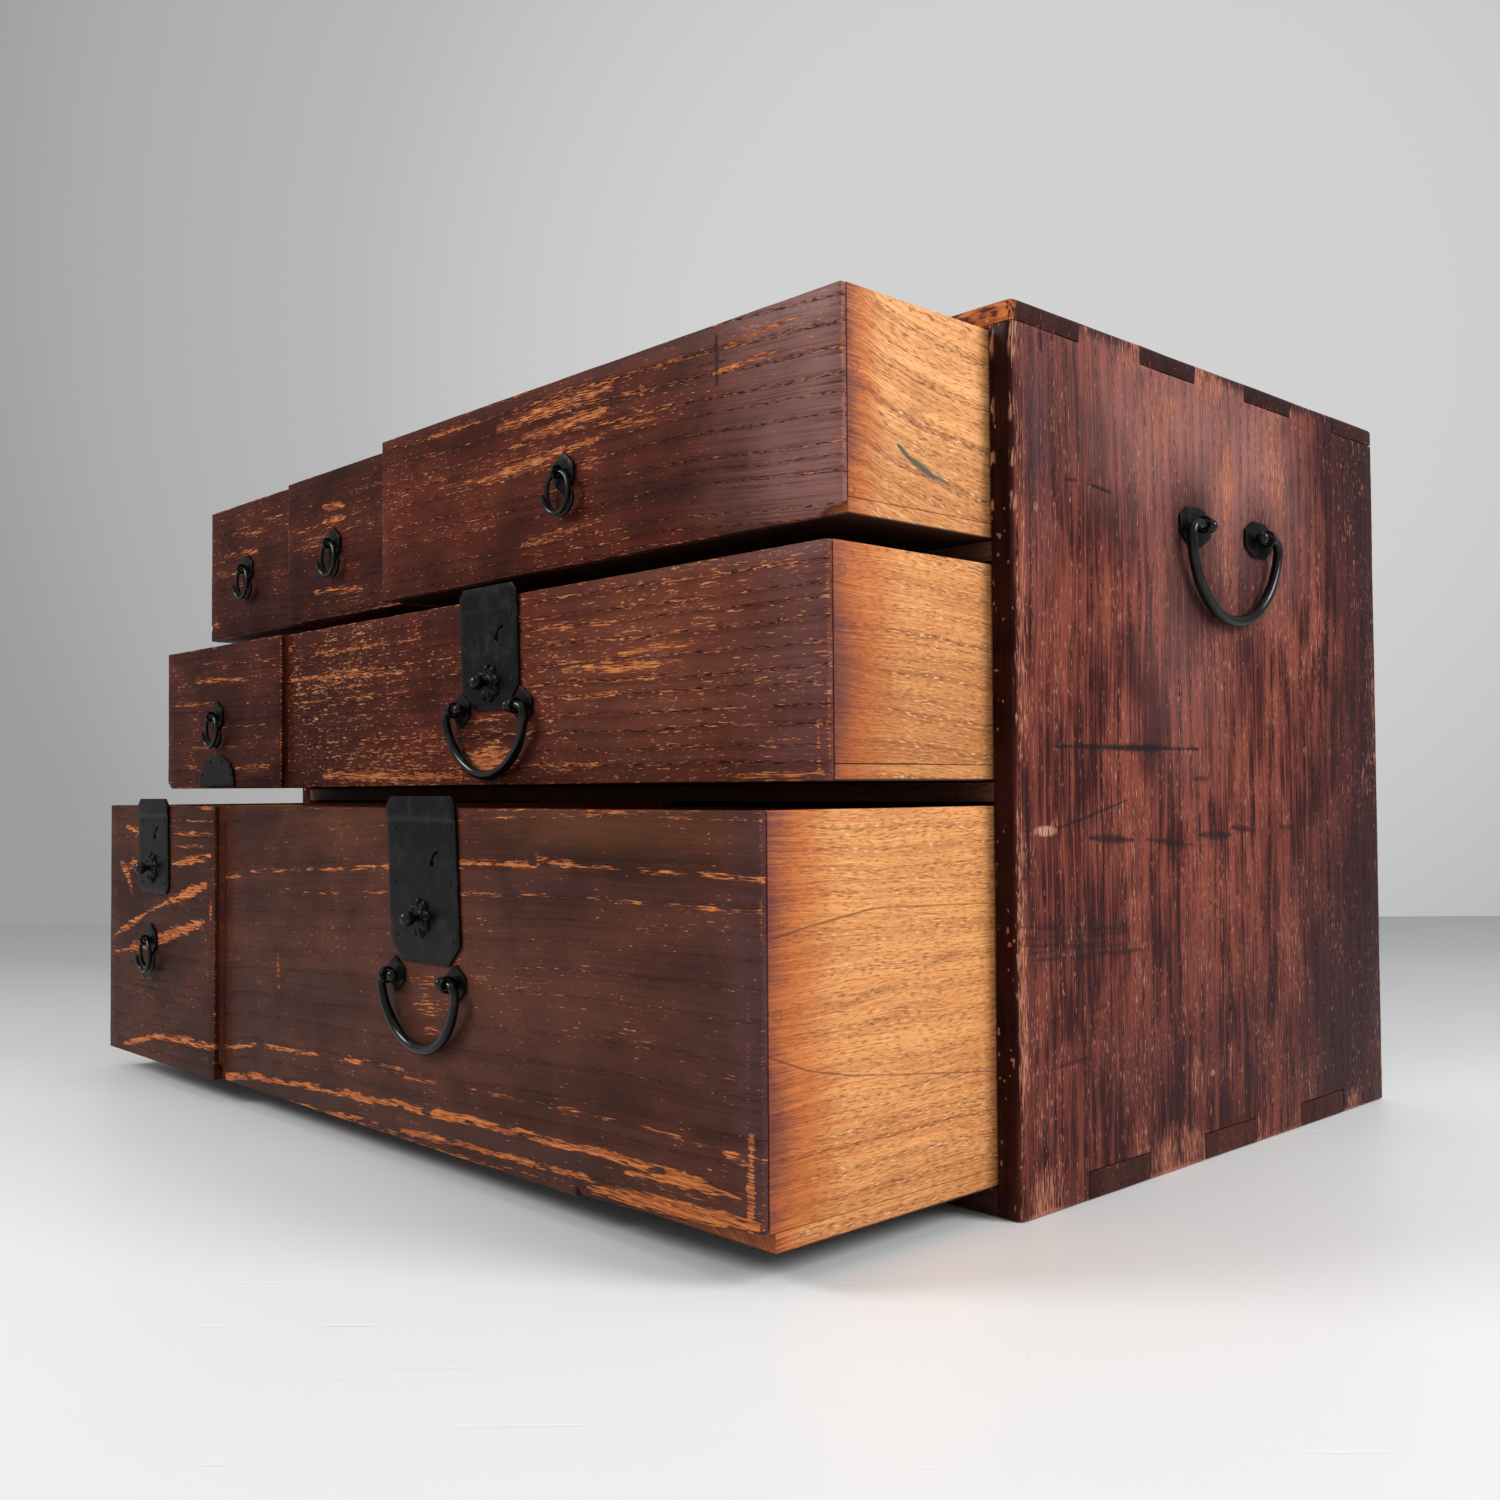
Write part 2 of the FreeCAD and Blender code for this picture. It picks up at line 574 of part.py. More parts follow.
cavity = "(lock_case_depth - lock_case_wall)"
bolt_y = f"front_thickness + {cavity} - bolt_clearance - bolt_thickness"
bolt_head = "(bolt_show - lock_case_sink)"
# the hole in the shelf above takes the raised bolt
mortise_depth = "(bolt_travel - lock_case_sink)"


def nail_set(name, spots):
    nails = []
    for index, (x, z) in enumerate(spots, 1):
        head = doc.addObject("Part::Sphere", f"{name}_head_{index}")
        bind(head, "Radius", "nail_head_radius")
        head.Angle1 = 0
        place(head, x, "-plate_thickness", z, OUTWARD)
        shank = rod(f"{name}_shank_{index}", "nail_radius", "nail_length + plate_thickness",
                    x, "-plate_thickness", z, INWARD)
        nails.append(fuse(f"{name}_{index}", head, shank))
    return nails


def nail_holes(name, spots):
    return [rod(f"{name}_hole_{index}", "nail_radius", "nail_length + 3*plate_thickness",
                x, "-3*plate_thickness", z, INWARD)
            for index, (x, z) in enumerate(spots, 1)]


def rosette(name, x, z):
    cone = doc.addObject("Part::Cone", name + "_cone")
    bind(cone, "Radius1", "rosette_radius - petal_radius")
    bind(cone, "Radius2", "knob_stem_radius + stem_clearance + 1")
    bind(cone, "Height", "rosette_height")
    place(cone, x, "-plate_thickness", z, OUTWARD)
    parts = [cone]
    ring = "(rosette_radius - petal_radius)"
    for index in range(int(number("petal_count"))):
        petal = doc.addObject("Part::Sphere", f"{name}_petal_{index}")
        bind(petal, "Radius", "petal_radius")
        petal.Angle1 = 0
        angle = f"{index}*360/petal_count"
        place(petal, f"{x} + {ring}*cos({angle})", "-plate_thickness",
              f"{z} + {ring}*sin({angle})", OUTWARD)
        parts.append(petal)
    bore = rod(name + "_bore", "knob_stem_radius + stem_clearance", "4*rosette_height",
               x, "-plate_thickness + 2*rosette_height", z)
    return cut(name, fuse(name + "_flower", *parts), bore)


def key_hook(name, x, z):
    """The curved slit of a keyhole: a quarter turn up and right from its round end."""
    deep = "front_thickness + 4*plate_thickness"
    middle = f"{x} + keyhole_bend"
    quarter = doc.addObject("Part::MultiCommon", name + "_key_hook")
    quarter.Shapes = [
        cut(name + "_key_band",
            rod(name + "_key_outside", "keyhole_bend + keyhole_slit/2", deep, middle,
                "-2*plate_thickness", z, INWARD),
            rod(name + "_key_inside", "keyhole_bend - keyhole_slit/2", deep, middle,
                "-2*plate_thickness", z, INWARD)),
        block(name + "_key_corner", "2*keyhole_bend", deep, "2*keyhole_bend",
              f"{x} - keyhole_bend", "-2*plate_thickness", z),
    ]
    return quarter


def lock(drawer, x, y, z, board_above):
    """Plate, knob, bolt and box of one lock. z is the top edge of the drawer's front."""
    size = {key: f"{drawer}_lock_{key}" for key in ("width", "length", "tab", "lean", "foot")}
    half, lean, tab = f"{size['width']}/2", f"{size['lean']}/2", size["tab"]
    foot, sole = size["foot"], f"{tab} - {size['length']}"
    corners = [
        (f"{half} - lock_clip - {lean}", tab), (f"-{half} + lock_clip - {lean}", tab),
        (f"-{half} - {lean}", f"{tab} - lock_clip"), (f"-{half} + {lean}", f"{sole} + {foot}"),
        (f"-{half} + {foot} + {lean}", sole), (f"{half} - {foot} + {lean}", sole),
        (f"{half} + {lean}", f"{sole} + {foot}"), (f"{half} - {lean}", f"{tab} - lock_clip"),
    ]
    knob_x, knob_z = f"{drawer}_knob_shift", f"-{drawer}_knob_drop"
    key_x, key_z = f"{drawer}_key_shift", f"-{drawer}_key_drop"
    name = drawer + "_lock"

    inset = f"{half} - nail_margin"
    low_nails = f"{sole} + {foot} + 2*nail_head_radius"
    spots = [(f"{side}({inset}) + {shift}", level)
             for level, shift in (("-nail_drop", "0"), (low_nails, lean),
                                  (f"(-nail_drop + {low_nails})/2", "0"))
             for side in ("-", "")]
    if drawer != "bottom_right":
        spots = spots[:4]
    stem_bore = rod(name + "_stem_bore", "knob_stem_radius + stem_clearance",
                    "front_thickness + 4*plate_thickness", knob_x, "-2*plate_thickness", knob_z,
                    INWARD)
    key_round = rod(name + "_key_round", "keyhole_radius", "front_thickness + 4*plate_thickness",
                    key_x, "-2*plate_thickness", key_z, INWARD)
    holes = [stem_bore, key_round, key_hook(name, key_x, key_z)] + nail_holes(name, spots)
    face = cut(name + "_face", plate(name + "_sheet", corners), *holes)
    flower = rosette(name + "_rosette", knob_x, knob_z)
    node(name + "_plate", place(group(name + "_plate_set", face, flower,
                                      *nail_set(name + "_nail", spots)), x, y, z))

    # the knob, its stem and the collar that keeps it in
    stand = "(plate_thickness + knob_stand)"
    collar = "front_thickness + stem_clearance"
    knob = fuse(name + "_knob_whole",
                ball(name + "_knob_ball", "knob_radius", knob_x, f"-{stand}", knob_z),
                rod(name + "_knob_stem", "knob_stem_radius", f"{stand} + {collar}",
                    knob_x, f"-{stand}", knob_z, INWARD),
                rod(name + "_knob_collar", "flange_radius", "flange_thickness",
                    knob_x, collar, knob_z, INWARD))
    node(name + "_knob", place(knob, x, y, z))

    bolt = block(name + "_bolt_bar", "bolt_width", "bolt_thickness", "bolt_length",
                 "-bolt_width/2", bolt_y, f"{bolt_head} - bolt_length")
    node(name + "_bolt", place(group(name + "_bolt_set", bolt), x, y, z))

    # the box, open towards the front, with a bowed spring on a ledge under the bolt
    depth_z = f"({drawer}_knob_drop + lock_case_margin)"
    box = block(name + "_box", "lock_case_width", "lock_case_depth",
                f"{depth_z} - lock_case_sink", "-lock_case_width/2", "front_thickness",
                f"-{depth_z}")
    hollow = block(name + "_hollow", "lock_case_width - 2*lock_case_wall", cavity,
                   f"{depth_z} - lock_case_sink - 2*lock_case_wall",
                   "-lock_case_width/2 + lock_case_wall", "front_thickness",
                   f"-{depth_z} + lock_case_wall")
    slot = block(name + "_slot", "bolt_width + 2*bolt_clearance",
                 "bolt_thickness + 2*bolt_clearance", "4*lock_case_wall",
                 "-bolt_width/2 - bolt_clearance", f"{bolt_y} - bolt_clearance",
                 "-lock_case_sink - 2*lock_case_wall")
    spring_foot = f"{bolt_head} - bolt_length - bolt_clearance - spring_radius"
    spring_y = f"front_thickness + {cavity} - spring_width"
    ledge = block(name + "_ledge", "2*(spring_radius + lock_case_wall)",
                  "spring_width + lock_case_wall/2", "lock_case_wall",
                  "-spring_radius - lock_case_wall", spring_y, f"{spring_foot} - lock_case_wall")
    shell = fuse(name + "_box_whole", cut(name + "_tray", box, hollow, slot), ledge)
    bow = cut(name + "_bow",
              rod(name + "_bow_outside", "spring_radius", "spring_width", "0", spring_y,
                  spring_foot, INWARD),
              rod(name + "_bow_inside", "spring_radius - spring_leaf", "3*spring_width", "0",
                  f"{spring_y} - spring_width", spring_foot, INWARD),
              block(name + "_bow_lower", "4*spring_radius", "3*spring_width", "2*spring_radius",
                    "-2*spring_radius", f"{spring_y} - spring_width",
                    f"{spring_foot} - 2*spring_radius"))
    node(name + "_case", place(group(name + "_case_set", shell, bow), x, y, z))

    mortise = block(name + "_mortise", "bolt_width + 2*mortise_clearance",
                    "bolt_thickness + 2*mortise_clearance", f"2*{mortise_depth}",
                    f"{x} - bolt_width/2 - mortise_clearance",
                    f"-case_depth/2 + {bolt_y} - mortise_clearance",
                    f"{board_above} - {mortise_depth}")
    return place(group(name + "_holes", *holes), x, y, z), mortise


# ---- drawers ----

def drawer(name, left_seam, right_seam, floor, height, on_bottom_board):
    """Front, walls and bottom. A seam of None is the side of the case."""
    left = row_left if left_seam is None else f"{left_seam} + seam_gap/2"
    right = row_right if right_seam is None else f"{right_seam} - seam_gap/2"
    room = "divider_thickness/2 + wall_clearance"
    wall_left = left if left_seam is None else f"{left_seam} + {room}"
    wall_right = right if right_seam is None else f"{right_seam} - ({room})"
    face = f"-case_depth/2 - {name}_pull"
    base = "deep_bottom_thickness" if on_bottom_board else "shallow_bottom_thickness"
    front_z = f"{floor} + {base}" if on_bottom_board else floor
    front_height = f"{height} - {base}" if on_bottom_board else height
    behind_lip = "front_thickness - front_lip"

    blank = doc.addObject("Part::Chamfer", name + "_front_blank")
    slab = block(name + "_front_slab", f"({right}) - ({left})", "front_thickness", front_height,
                 left, face, front_z)
    doc.recompute()
    blank.Base = slab
    y = slab.Shape.BoundBox.YMin
    upright = [index for index, edge in enumerate(slab.Shape.Edges, 1)
               if edge.BoundBox.YMax < y + 0.01 and edge.BoundBox.ZLength > 1]
    blank.Edges = [(index, number("front_round"), number("front_round")) for index in upright]
    notches = [
        block(name + "_left_rabbet", f"({wall_left}) - ({left}) + wall_thickness + 1",
              behind_lip + " + 1", f"{height} + 2", f"{left} - 1", f"{face} + front_lip",
              f"{floor} - 1"),
        block(name + "_right_rabbet", f"({right}) - ({wall_right}) + wall_thickness + 1",
              behind_lip + " + 1", f"{height} + 2", f"{wall_right} - wall_thickness",
              f"{face} + front_lip", f"{floor} - 1"),
    ]
    if not on_bottom_board:
        notches.append(block(name + "_bottom_rabbet", f"({right}) - ({left}) + 2",
                             behind_lip + " + 1", f"{base} + 1", f"{left} - 1",
                             f"{face} + front_lip", f"{floor} - 1"))

    wall_z = f"{floor} + {base}"
    wall_height = f"{height} - {base}"
    run = f"{drawer_length} - front_lip"
    walls = [
        block(name + "_left_wall", "wall_thickness", run, wall_height, wall_left,
              f"{face} + front_lip", wall_z),
        block(name + "_right_wall", "wall_thickness", run, wall_height,
              f"{wall_right} - wall_thickness", f"{face} + front_lip", wall_z),
        block(name + "_back_wall", f"({wall_right}) - ({wall_left}) - 2*wall_thickness",
              "wall_thickness", f"{wall_height} - wall_drop", f"{wall_left} + wall_thickness",
              f"{face} + {drawer_length} - wall_thickness", wall_z),
    ]
    node(name + "_walls", group(name + "_wall_set", *walls))
    start = "0" if on_bottom_board else "front_lip"
    node(name + "_bottom", block(name + "_bottom_board", f"({wall_right}) - ({wall_left})",
                                 f"{drawer_length} - {start}", base, wall_left,
                                 f"{face} + {start}", floor))
    middle = f"(({left}) + ({right}))/2"
    return {"name": name, "blank": blank, "notches": notches, "middle": middle, "face": face,
            "floor": floor, "top": f"{floor} + {height}"}


def finish_front(parts, holes):
    """Cut the rabbets and the holes for the fittings into a front."""
    name = parts["name"]
    node(name + "_front", cut(name + "_front_cut", parts["blank"], *parts["notches"], *holes))


def ringed(parts, z):
    name = parts["name"]
    x = f"{parts['middle']} + {name}_ring_shift"
    pull_ring(name + "_ring", x, parts["face"], z)
    return ring_mount(name + "_ring_mount", x, parts["face"], z)


def bailed(parts, width, drop, shift):
    name = parts["name"]
    x = f"{parts['middle']} + {shift}"
    z = f"{parts['top']} - {drop}"
    bail(name + "_bail", width, "bail_depth", "bail_rod_radius", "bail_elbow",
         "bail_ball_radius", "bail_eye_spacing", UPRIGHT, BAIL_LEAN, x,
         f"{parts['face']} - {proud('bail_rod_radius')}", z)
    return eye_pair(name + "_bail_mounts", "bail_eye_spacing", "bail_rod_radius",
                    pointed("bail_plate_width", "bail_plate_height", "bail_plate_flat"),
                    "front_thickness", "0", UPRIGHT, x, parts["face"], z)


def locked(parts, board_above):
    name = parts["name"]
    x = f"{parts['middle']} + {name}_lock_shift"
    return lock(name, x, parts["face"], parts["top"], board_above)


def half_round_plate(parts):
    """Shouldered iron plate along the lower edge of a front."""
    half, slope = "keeper_width/2", "keeper_slope"
    corners = [
        (f"-{half}", "nail_head_radius"), (half, "nail_head_radius"),
        (f"{half} - {slope}", "keeper_shoulder"), ("keeper_crown/2", "keeper_height"),
        ("-keeper_crown/2", "keeper_height"), (f"-{half} + {slope}", "keeper_shoulder"),
    ]
    inset = f"{half} - {slope} - 2*nail_head_radius"
    low = "keeper_shoulder - 2*nail_head_radius"
    spots = [(f"-({inset})", low), (inset, low),
             ("-keeper_crown/2", "keeper_height - 3*nail_head_radius"),
             ("keeper_crown/2", "keeper_height - 3*nail_head_radius")]
    x = f"{parts['middle']} + keeper_shift"
    name = parts["name"] + "_half_round_plate"
    face = cut(name + "_face", plate(name + "_sheet", corners), *nail_holes(name, spots))
    node(name, place(group(name + "_set", face, *nail_set(name + "_nail", spots)),
                     x, parts["face"], parts["floor"]))
    return place(group(name + "_holes", *nail_holes(name + "_wood", spots)),
                 x, parts["face"], parts["floor"])


top_left = drawer("top_left", None, top_left_seam, top_floor, "top_row_height", False)
top_middle = drawer("top_middle", top_left_seam, top_right_seam, top_floor, "top_row_height", False)
top_right = drawer("top_right", top_right_seam, None, top_floor, "top_row_height", False)
middle_left = drawer("middle_left", None, middle_seam, middle_floor, "middle_row_height", False)
middle_right = drawer("middle_right", middle_seam, None, middle_floor, "middle_row_height", False)
bottom_left = drawer("bottom_left", None, bottom_seam, low_floor, "bottom_row_height", True)
bottom_right = drawer("bottom_right", bottom_seam, None, low_floor, "bottom_row_height", True)

for parts in (top_left, top_middle, top_right):
    finish_front(parts, [ringed(parts, top_floor + " + top_ring_height")])
finish_front(middle_left, [ringed(middle_left, middle_floor + " + middle_ring_height"),
                           half_round_plate(middle_left)])
middle_lock, middle_mortise = locked(middle_right, upper_shelf_z)
finish_front(middle_right, [bailed(middle_right, "middle_bail_width", "middle_bail_drop",
                                   "middle_bail_shift"), middle_lock])
left_lock, left_mortise = locked(bottom_left, lower_shelf_z)
finish_front(bottom_left, [ringed(bottom_left, bottom_left["top"] + " - bottom_ring_drop"), left_lock])
right_lock, right_mortise = locked(bottom_right, lower_shelf_z)
finish_front(bottom_right, [bailed(bottom_right, "bottom_bail_width", "bottom_bail_drop",
                                   "bottom_bail_shift"), right_lock])

# ---- the case around them, with its carrying handles ----

lower_shelf = shelf("lower_shelf", lower_shelf_z, [left_mortise, right_mortise])
upper_shelf = shelf("upper_shelf", upper_shelf_z, [middle_mortise])
dividers()

side_holes = {}
handle_z = f"{case_height} - handle_drop"
handle_corners = eight_sided("handle_plate_width", "handle_plate_height", "handle_plate_flat",
                             "handle_plate_crown")
for tag, sign, turn in (("left", "-", LEFT_SIDE), ("right", "", RIGHT_SIDE)):
    side_holes[tag] = eye_pair(f"{tag}_handle_mounts", "handle_eye_spacing", "handle_rod_radius",
                               handle_corners, "side_thickness", "tail_thickness + pin_clearance",
                               turn, f"{sign}case_width/2", "handle_shift", handle_z)
    bail(f"{tag}_handle", "handle_width", "handle_depth", "handle_rod_radius", "handle_elbow",
         "handle_ball_radius", "handle_eye_spacing", turn, HANDLE_LEAN,
         f"{sign}(case_width/2 + {proud('handle_rod_radius')})", "handle_shift", handle_z)
case_boards([lower_shelf, upper_shelf], side_holes)

doc.recompute()

# ---- checks and export ----

for thing in doc.Objects:
    if {"Invalid", "Error"} & set(thing.State):
        raise RuntimeError(f"{thing.Label} failed: {thing.State}")
os.makedirs("parts", exist_ok=True)
for thing in nodes:
    shape = thing.Shape
    if shape.isNull() or not shape.isValid() or not shape.Solids:
        raise RuntimeError(f"{thing.Label} has no valid solid")
    shape.exportStep(f"parts/{thing.Label}.step")
    print(f"{thing.Label}: {len(shape.Solids)} solids, {shape.Volume / 1000:.2f} cm3")
print(len(nodes), "nodes, case height", round(number(case_height), 3))
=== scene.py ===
import math

import bmesh
import bpy
from mathutils import Matrix, Vector


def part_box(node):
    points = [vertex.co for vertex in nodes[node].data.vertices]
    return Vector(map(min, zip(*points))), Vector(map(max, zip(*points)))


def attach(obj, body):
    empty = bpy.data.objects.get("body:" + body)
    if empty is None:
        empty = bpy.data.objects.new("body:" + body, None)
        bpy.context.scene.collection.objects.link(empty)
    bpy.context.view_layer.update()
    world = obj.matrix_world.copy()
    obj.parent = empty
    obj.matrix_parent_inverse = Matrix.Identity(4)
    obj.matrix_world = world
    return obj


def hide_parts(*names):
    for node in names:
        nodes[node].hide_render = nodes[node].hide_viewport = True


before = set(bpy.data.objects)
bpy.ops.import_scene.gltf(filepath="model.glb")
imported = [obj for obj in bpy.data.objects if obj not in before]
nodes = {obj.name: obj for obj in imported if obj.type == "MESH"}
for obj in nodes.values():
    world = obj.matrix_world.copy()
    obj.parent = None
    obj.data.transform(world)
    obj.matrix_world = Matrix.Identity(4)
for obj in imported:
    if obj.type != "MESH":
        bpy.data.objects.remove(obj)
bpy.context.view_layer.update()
mm = 0.001

# camera

view = {
    "place": (0.71325, -0.69234, 0.18643),
    "yaw": 0.81585,
    "pitch": 0.026714,
    "roll": -0.0067818,
    "lens": 34.9786,    # mm
    "film": 36.0,       # mm
    "far": 20.0,
}


def aim():
    yaw, pitch = view["yaw"], view["pitch"]
    level = math.cos(pitch)
    forward = Vector((-math.sin(yaw) * level, math.cos(yaw) * level, math.sin(pitch)))
    right = Vector((math.cos(yaw), math.sin(yaw), 0))
    return forward, right, right.cross(forward)


def placeCamera():
    forward, right, up = aim()
    turn = view["roll"]
    across = right * math.cos(turn) + up * math.sin(turn)
    upward = up * math.cos(turn) - right * math.sin(turn)
    bpy.ops.object.camera_add(location=(0, 0, 0))
    camera = bpy.context.object
    camera.name = "camera"
    facing = Matrix((across, upward, -forward)).transposed().to_4x4()
    camera.matrix_world = Matrix.Translation(view["place"]) @ facing
    camera.data.lens = view["lens"]
    camera.data.sensor_width = view["film"]
    camera.data.clip_end = view["far"]
    bpy.context.scene.camera = camera


placeCamera()
print("camera placed")

# shader maths


class Wire:
    def __init__(self, finish, socket):
        self.finish = finish
        self.socket = socket

    def __add__(self, other):
        return self.finish.maths("ADD", self, other)

    def __radd__(self, other):
        return self.finish.maths("ADD", other, self)

    def __sub__(self, other):
        return self.finish.maths("SUBTRACT", self, other)

    def __rsub__(self, other):
        return self.finish.maths("SUBTRACT", other, self)

    def __mul__(self, other):
        return self.finish.maths("MULTIPLY", self, other)

    def __rmul__(self, other):
        return self.finish.maths("MULTIPLY", other, self)

    def __truediv__(self, other):
        return self.finish.maths("DIVIDE", self, other)


class Finish:
    def __init__(self, owner):
        # a material or the world
        owner.use_nodes = True
        self.owner = owner
        self.tree = owner.node_tree
        self.tree.nodes.clear()

    def node(self, kind, settings=None, sockets=None, out=0):
        made = self.tree.nodes.new("ShaderNode" + kind)
        for key, value in (settings or {}).items():
            if key == "stops":
                ramp = made.color_ramp
                while len(ramp.elements) > 1:
                    ramp.elements.remove(ramp.elements[-1])
                ramp.elements[0].position = value[0][0]
                ramp.elements[0].color = value[0][1]
                for place, colour in value[1:]:
                    ramp.elements.new(place).color = colour
            else:
                setattr(made, key, value)
        for key, value in (sockets or {}).items():
            self.feed(made.inputs[key], value)
        return Wire(self, made.outputs[out]) if len(made.outputs) else None

    def feed(self, socket, value):
        if isinstance(value, Wire):
            self.tree.links.new(value.socket, socket)
        elif value is not None:
            socket.default_value = value

    def maths(self, operation, a, b=None):
        return self.node("Math", {"operation": operation}, {0: a, 1: b})

    def least(self, a, b):
        return self.maths("MINIMUM", a, b)

    def most(self, a, b):
        return self.maths("MAXIMUM", a, b)

    def size(self, a):
        return self.maths("ABSOLUTE", a)

    def part(self, a):
        return self.maths("FRACT", a)

    def smooth(self, value, start, end, low=0.0, high=1.0):
        return self.node("MapRange", {"interpolation_type": "SMOOTHSTEP", "clamp": False},
                         {0: value, 1: start, 2: end, 3: low, 4: high})

    def mix(self, share, a, b, kind="MIX"):
        def four(colour):
            return colour if isinstance(colour, Wire) or len(colour) == 4 else (*colour, 1)
        return self.node("Mix", {"data_type": "RGBA", "blend_type": kind},
                         {0: share, 6: four(a), 7: four(b)}, 2)

    def vector(self, operation, out, *values):
        return self.node("VectorMath", {"operation": operation}, dict(enumerate(values)), out)

    def point(self, x, y, z):
        return self.node("CombineXYZ", None, {0: x, 1: y, 2: z})

    def noise(self, x, y, z, detail=2.0, rough=0.5, bend=0.0):
        return self.node("TexNoise", {"noise_dimensions": "3D"},
                         {"Vector": self.point(x, y, z), "Scale": 1.0, "Detail": detail,
                          "Roughness": rough, "Distortion": bend})

    def cells(self, x, y, z, out="Distance"):
        return self.node("TexVoronoi", {"voronoi_dimensions": "3D"},
                         {"Vector": self.point(x, y, z), "Scale": 1.0}, out)

    def spot(self, here, x, y, half, tall, soft=0.45):
        # 1 inside an ellipse, fading past its edge
        away = self.vector("MULTIPLY_ADD", 0, here, (1 / half, 1 / tall, 0), (-x / half, -y / tall, 0))
        return self.smooth(self.vector("LENGTH", "Value", away), 1.25, soft)

    def stroke(self, here, x0, y0, x1, y1, thickness, wobble):
        # 1 along a line from end to end, wider in its middle
        run, rise = x1 - x0, y1 - y0
        span = run ** 2 + rise ** 2
        far = self.vector("SUBTRACT", 0, here, (x0, y0, 0))
        share = self.vector("DOT_PRODUCT", "Value", far, (run / span, rise / span, 0))
        share = self.node("Clamp", None, {0: share})
        near = self.vector("SCALE", 0, (run, rise, 0), None, None, share)
        away = self.vector("DISTANCE", "Value", far, near)
        taper = share * (1 - share) * 2.4 + 0.5
        return self.smooth(away + wobble * thickness, taper * thickness, thickness * 0.2)

    def highest(self, values):
        total = None
        for value in values:
            total = value if total is None else self.most(total, value)
        return total

    def strokes(self, here, marks, wobble):
        return self.highest(self.stroke(here, *mark[:5], wobble) * mark[5] for mark in marks)

    def ramp(self, share, stops):
        return self.node("ValToRGB", {"stops": [(at, (v, v, v, 1)) for at, v in stops]}, {0: share})

    def levelled(self, a, c, sway):
        # c without the lift of the grain, from (along, lift) pairs
        if not sway:
            return c
        first, last = sway[0][0], sway[-1][0]
        top = max(lift for _, lift in sway) or 1
        stops = [((x - first) / (last - first), (0, 0, 0, lift / top)) for x, lift in sway]
        return c - self.node("ValToRGB", {"stops": stops}, {0: (a - first) / (last - first)}, "Alpha") * top

    def place(self):
        where = self.node("TexCoord", None, None, "Object")
        split = self.node("SeparateXYZ", None, {0: where})
        node = split.socket.node
        return {axis: Wire(self, node.outputs[axis]) * 1000 for axis in "XYZ"}

    def surface(self, settings, **wires):
        shader = self.node("BsdfPrincipled")
        for key, value in settings.items():
            self.feed(shader.socket.node.inputs[key], value)
        for key, value in wires.items():
            self.feed(shader.socket.node.inputs[key.replace("_", " ")], value)
        self.node("OutputMaterial", None, {"Surface": shader})
        return self.owner

    def bump(self, height, distance, strength=1.0):
        return self.node("Bump", None, {"Height": height, "Distance": distance, "Strength": strength})


# lacquered fronts and case

lacquer = {
    "seed": 0.0,
    "along": "X",
    "across": "Z",
    "deep": "Y",
    "dark": (0.038, 0.008, 0.0052),
    "red": (0.112, 0.022, 0.011),
    "thin": (0.3, 0.074, 0.024),
    "bare": (0.64, 0.208, 0.06),
    "crumb": (0.58, 0.25, 0.11),
    "ring": 6.0,        # growth rings, mm apart
    "rows": 0.6,        # how far the rows of pores show
    "fibres": 0.25,     # how far single fibres differ
    "bands": 0.0,       # broad stripes along the grain
    "worn": 0.0,        # more is more bare wood
    "flecks": 0.7,
    "edge": 0.25,
    "sway": (),         # (along, lift) of the grain, mm
    "lines": (),        # (level, thickness, strength, from, to) of strong worn rings
    "streaks": (),      # (along, across, along, across, thickness, strength) of worn streaks
    "patches": (),      # (along, across, half length, half height, strength)
    "marks": (),        # dark scratches, as streaks
    "chips": (),        # bare splinters, as patches
    "tints": (),        # (along, across, half length, half height, strength, colour)
    "veil": None,       # (from, to, strength, colour) of painted sheen: an end greyed towards a pale tint, standing in for gloss seen at a grazing angle
    "inner": None,      # depth of the unlacquered rear face, mm
    "scratch": (0.016, 0.01, 0.012),
    "rawDark": (0.2, 0.07, 0.028),
    "rawPale": (0.62, 0.27, 0.1),
    "rough": 0.36,
    "gloss": 0.05,
}


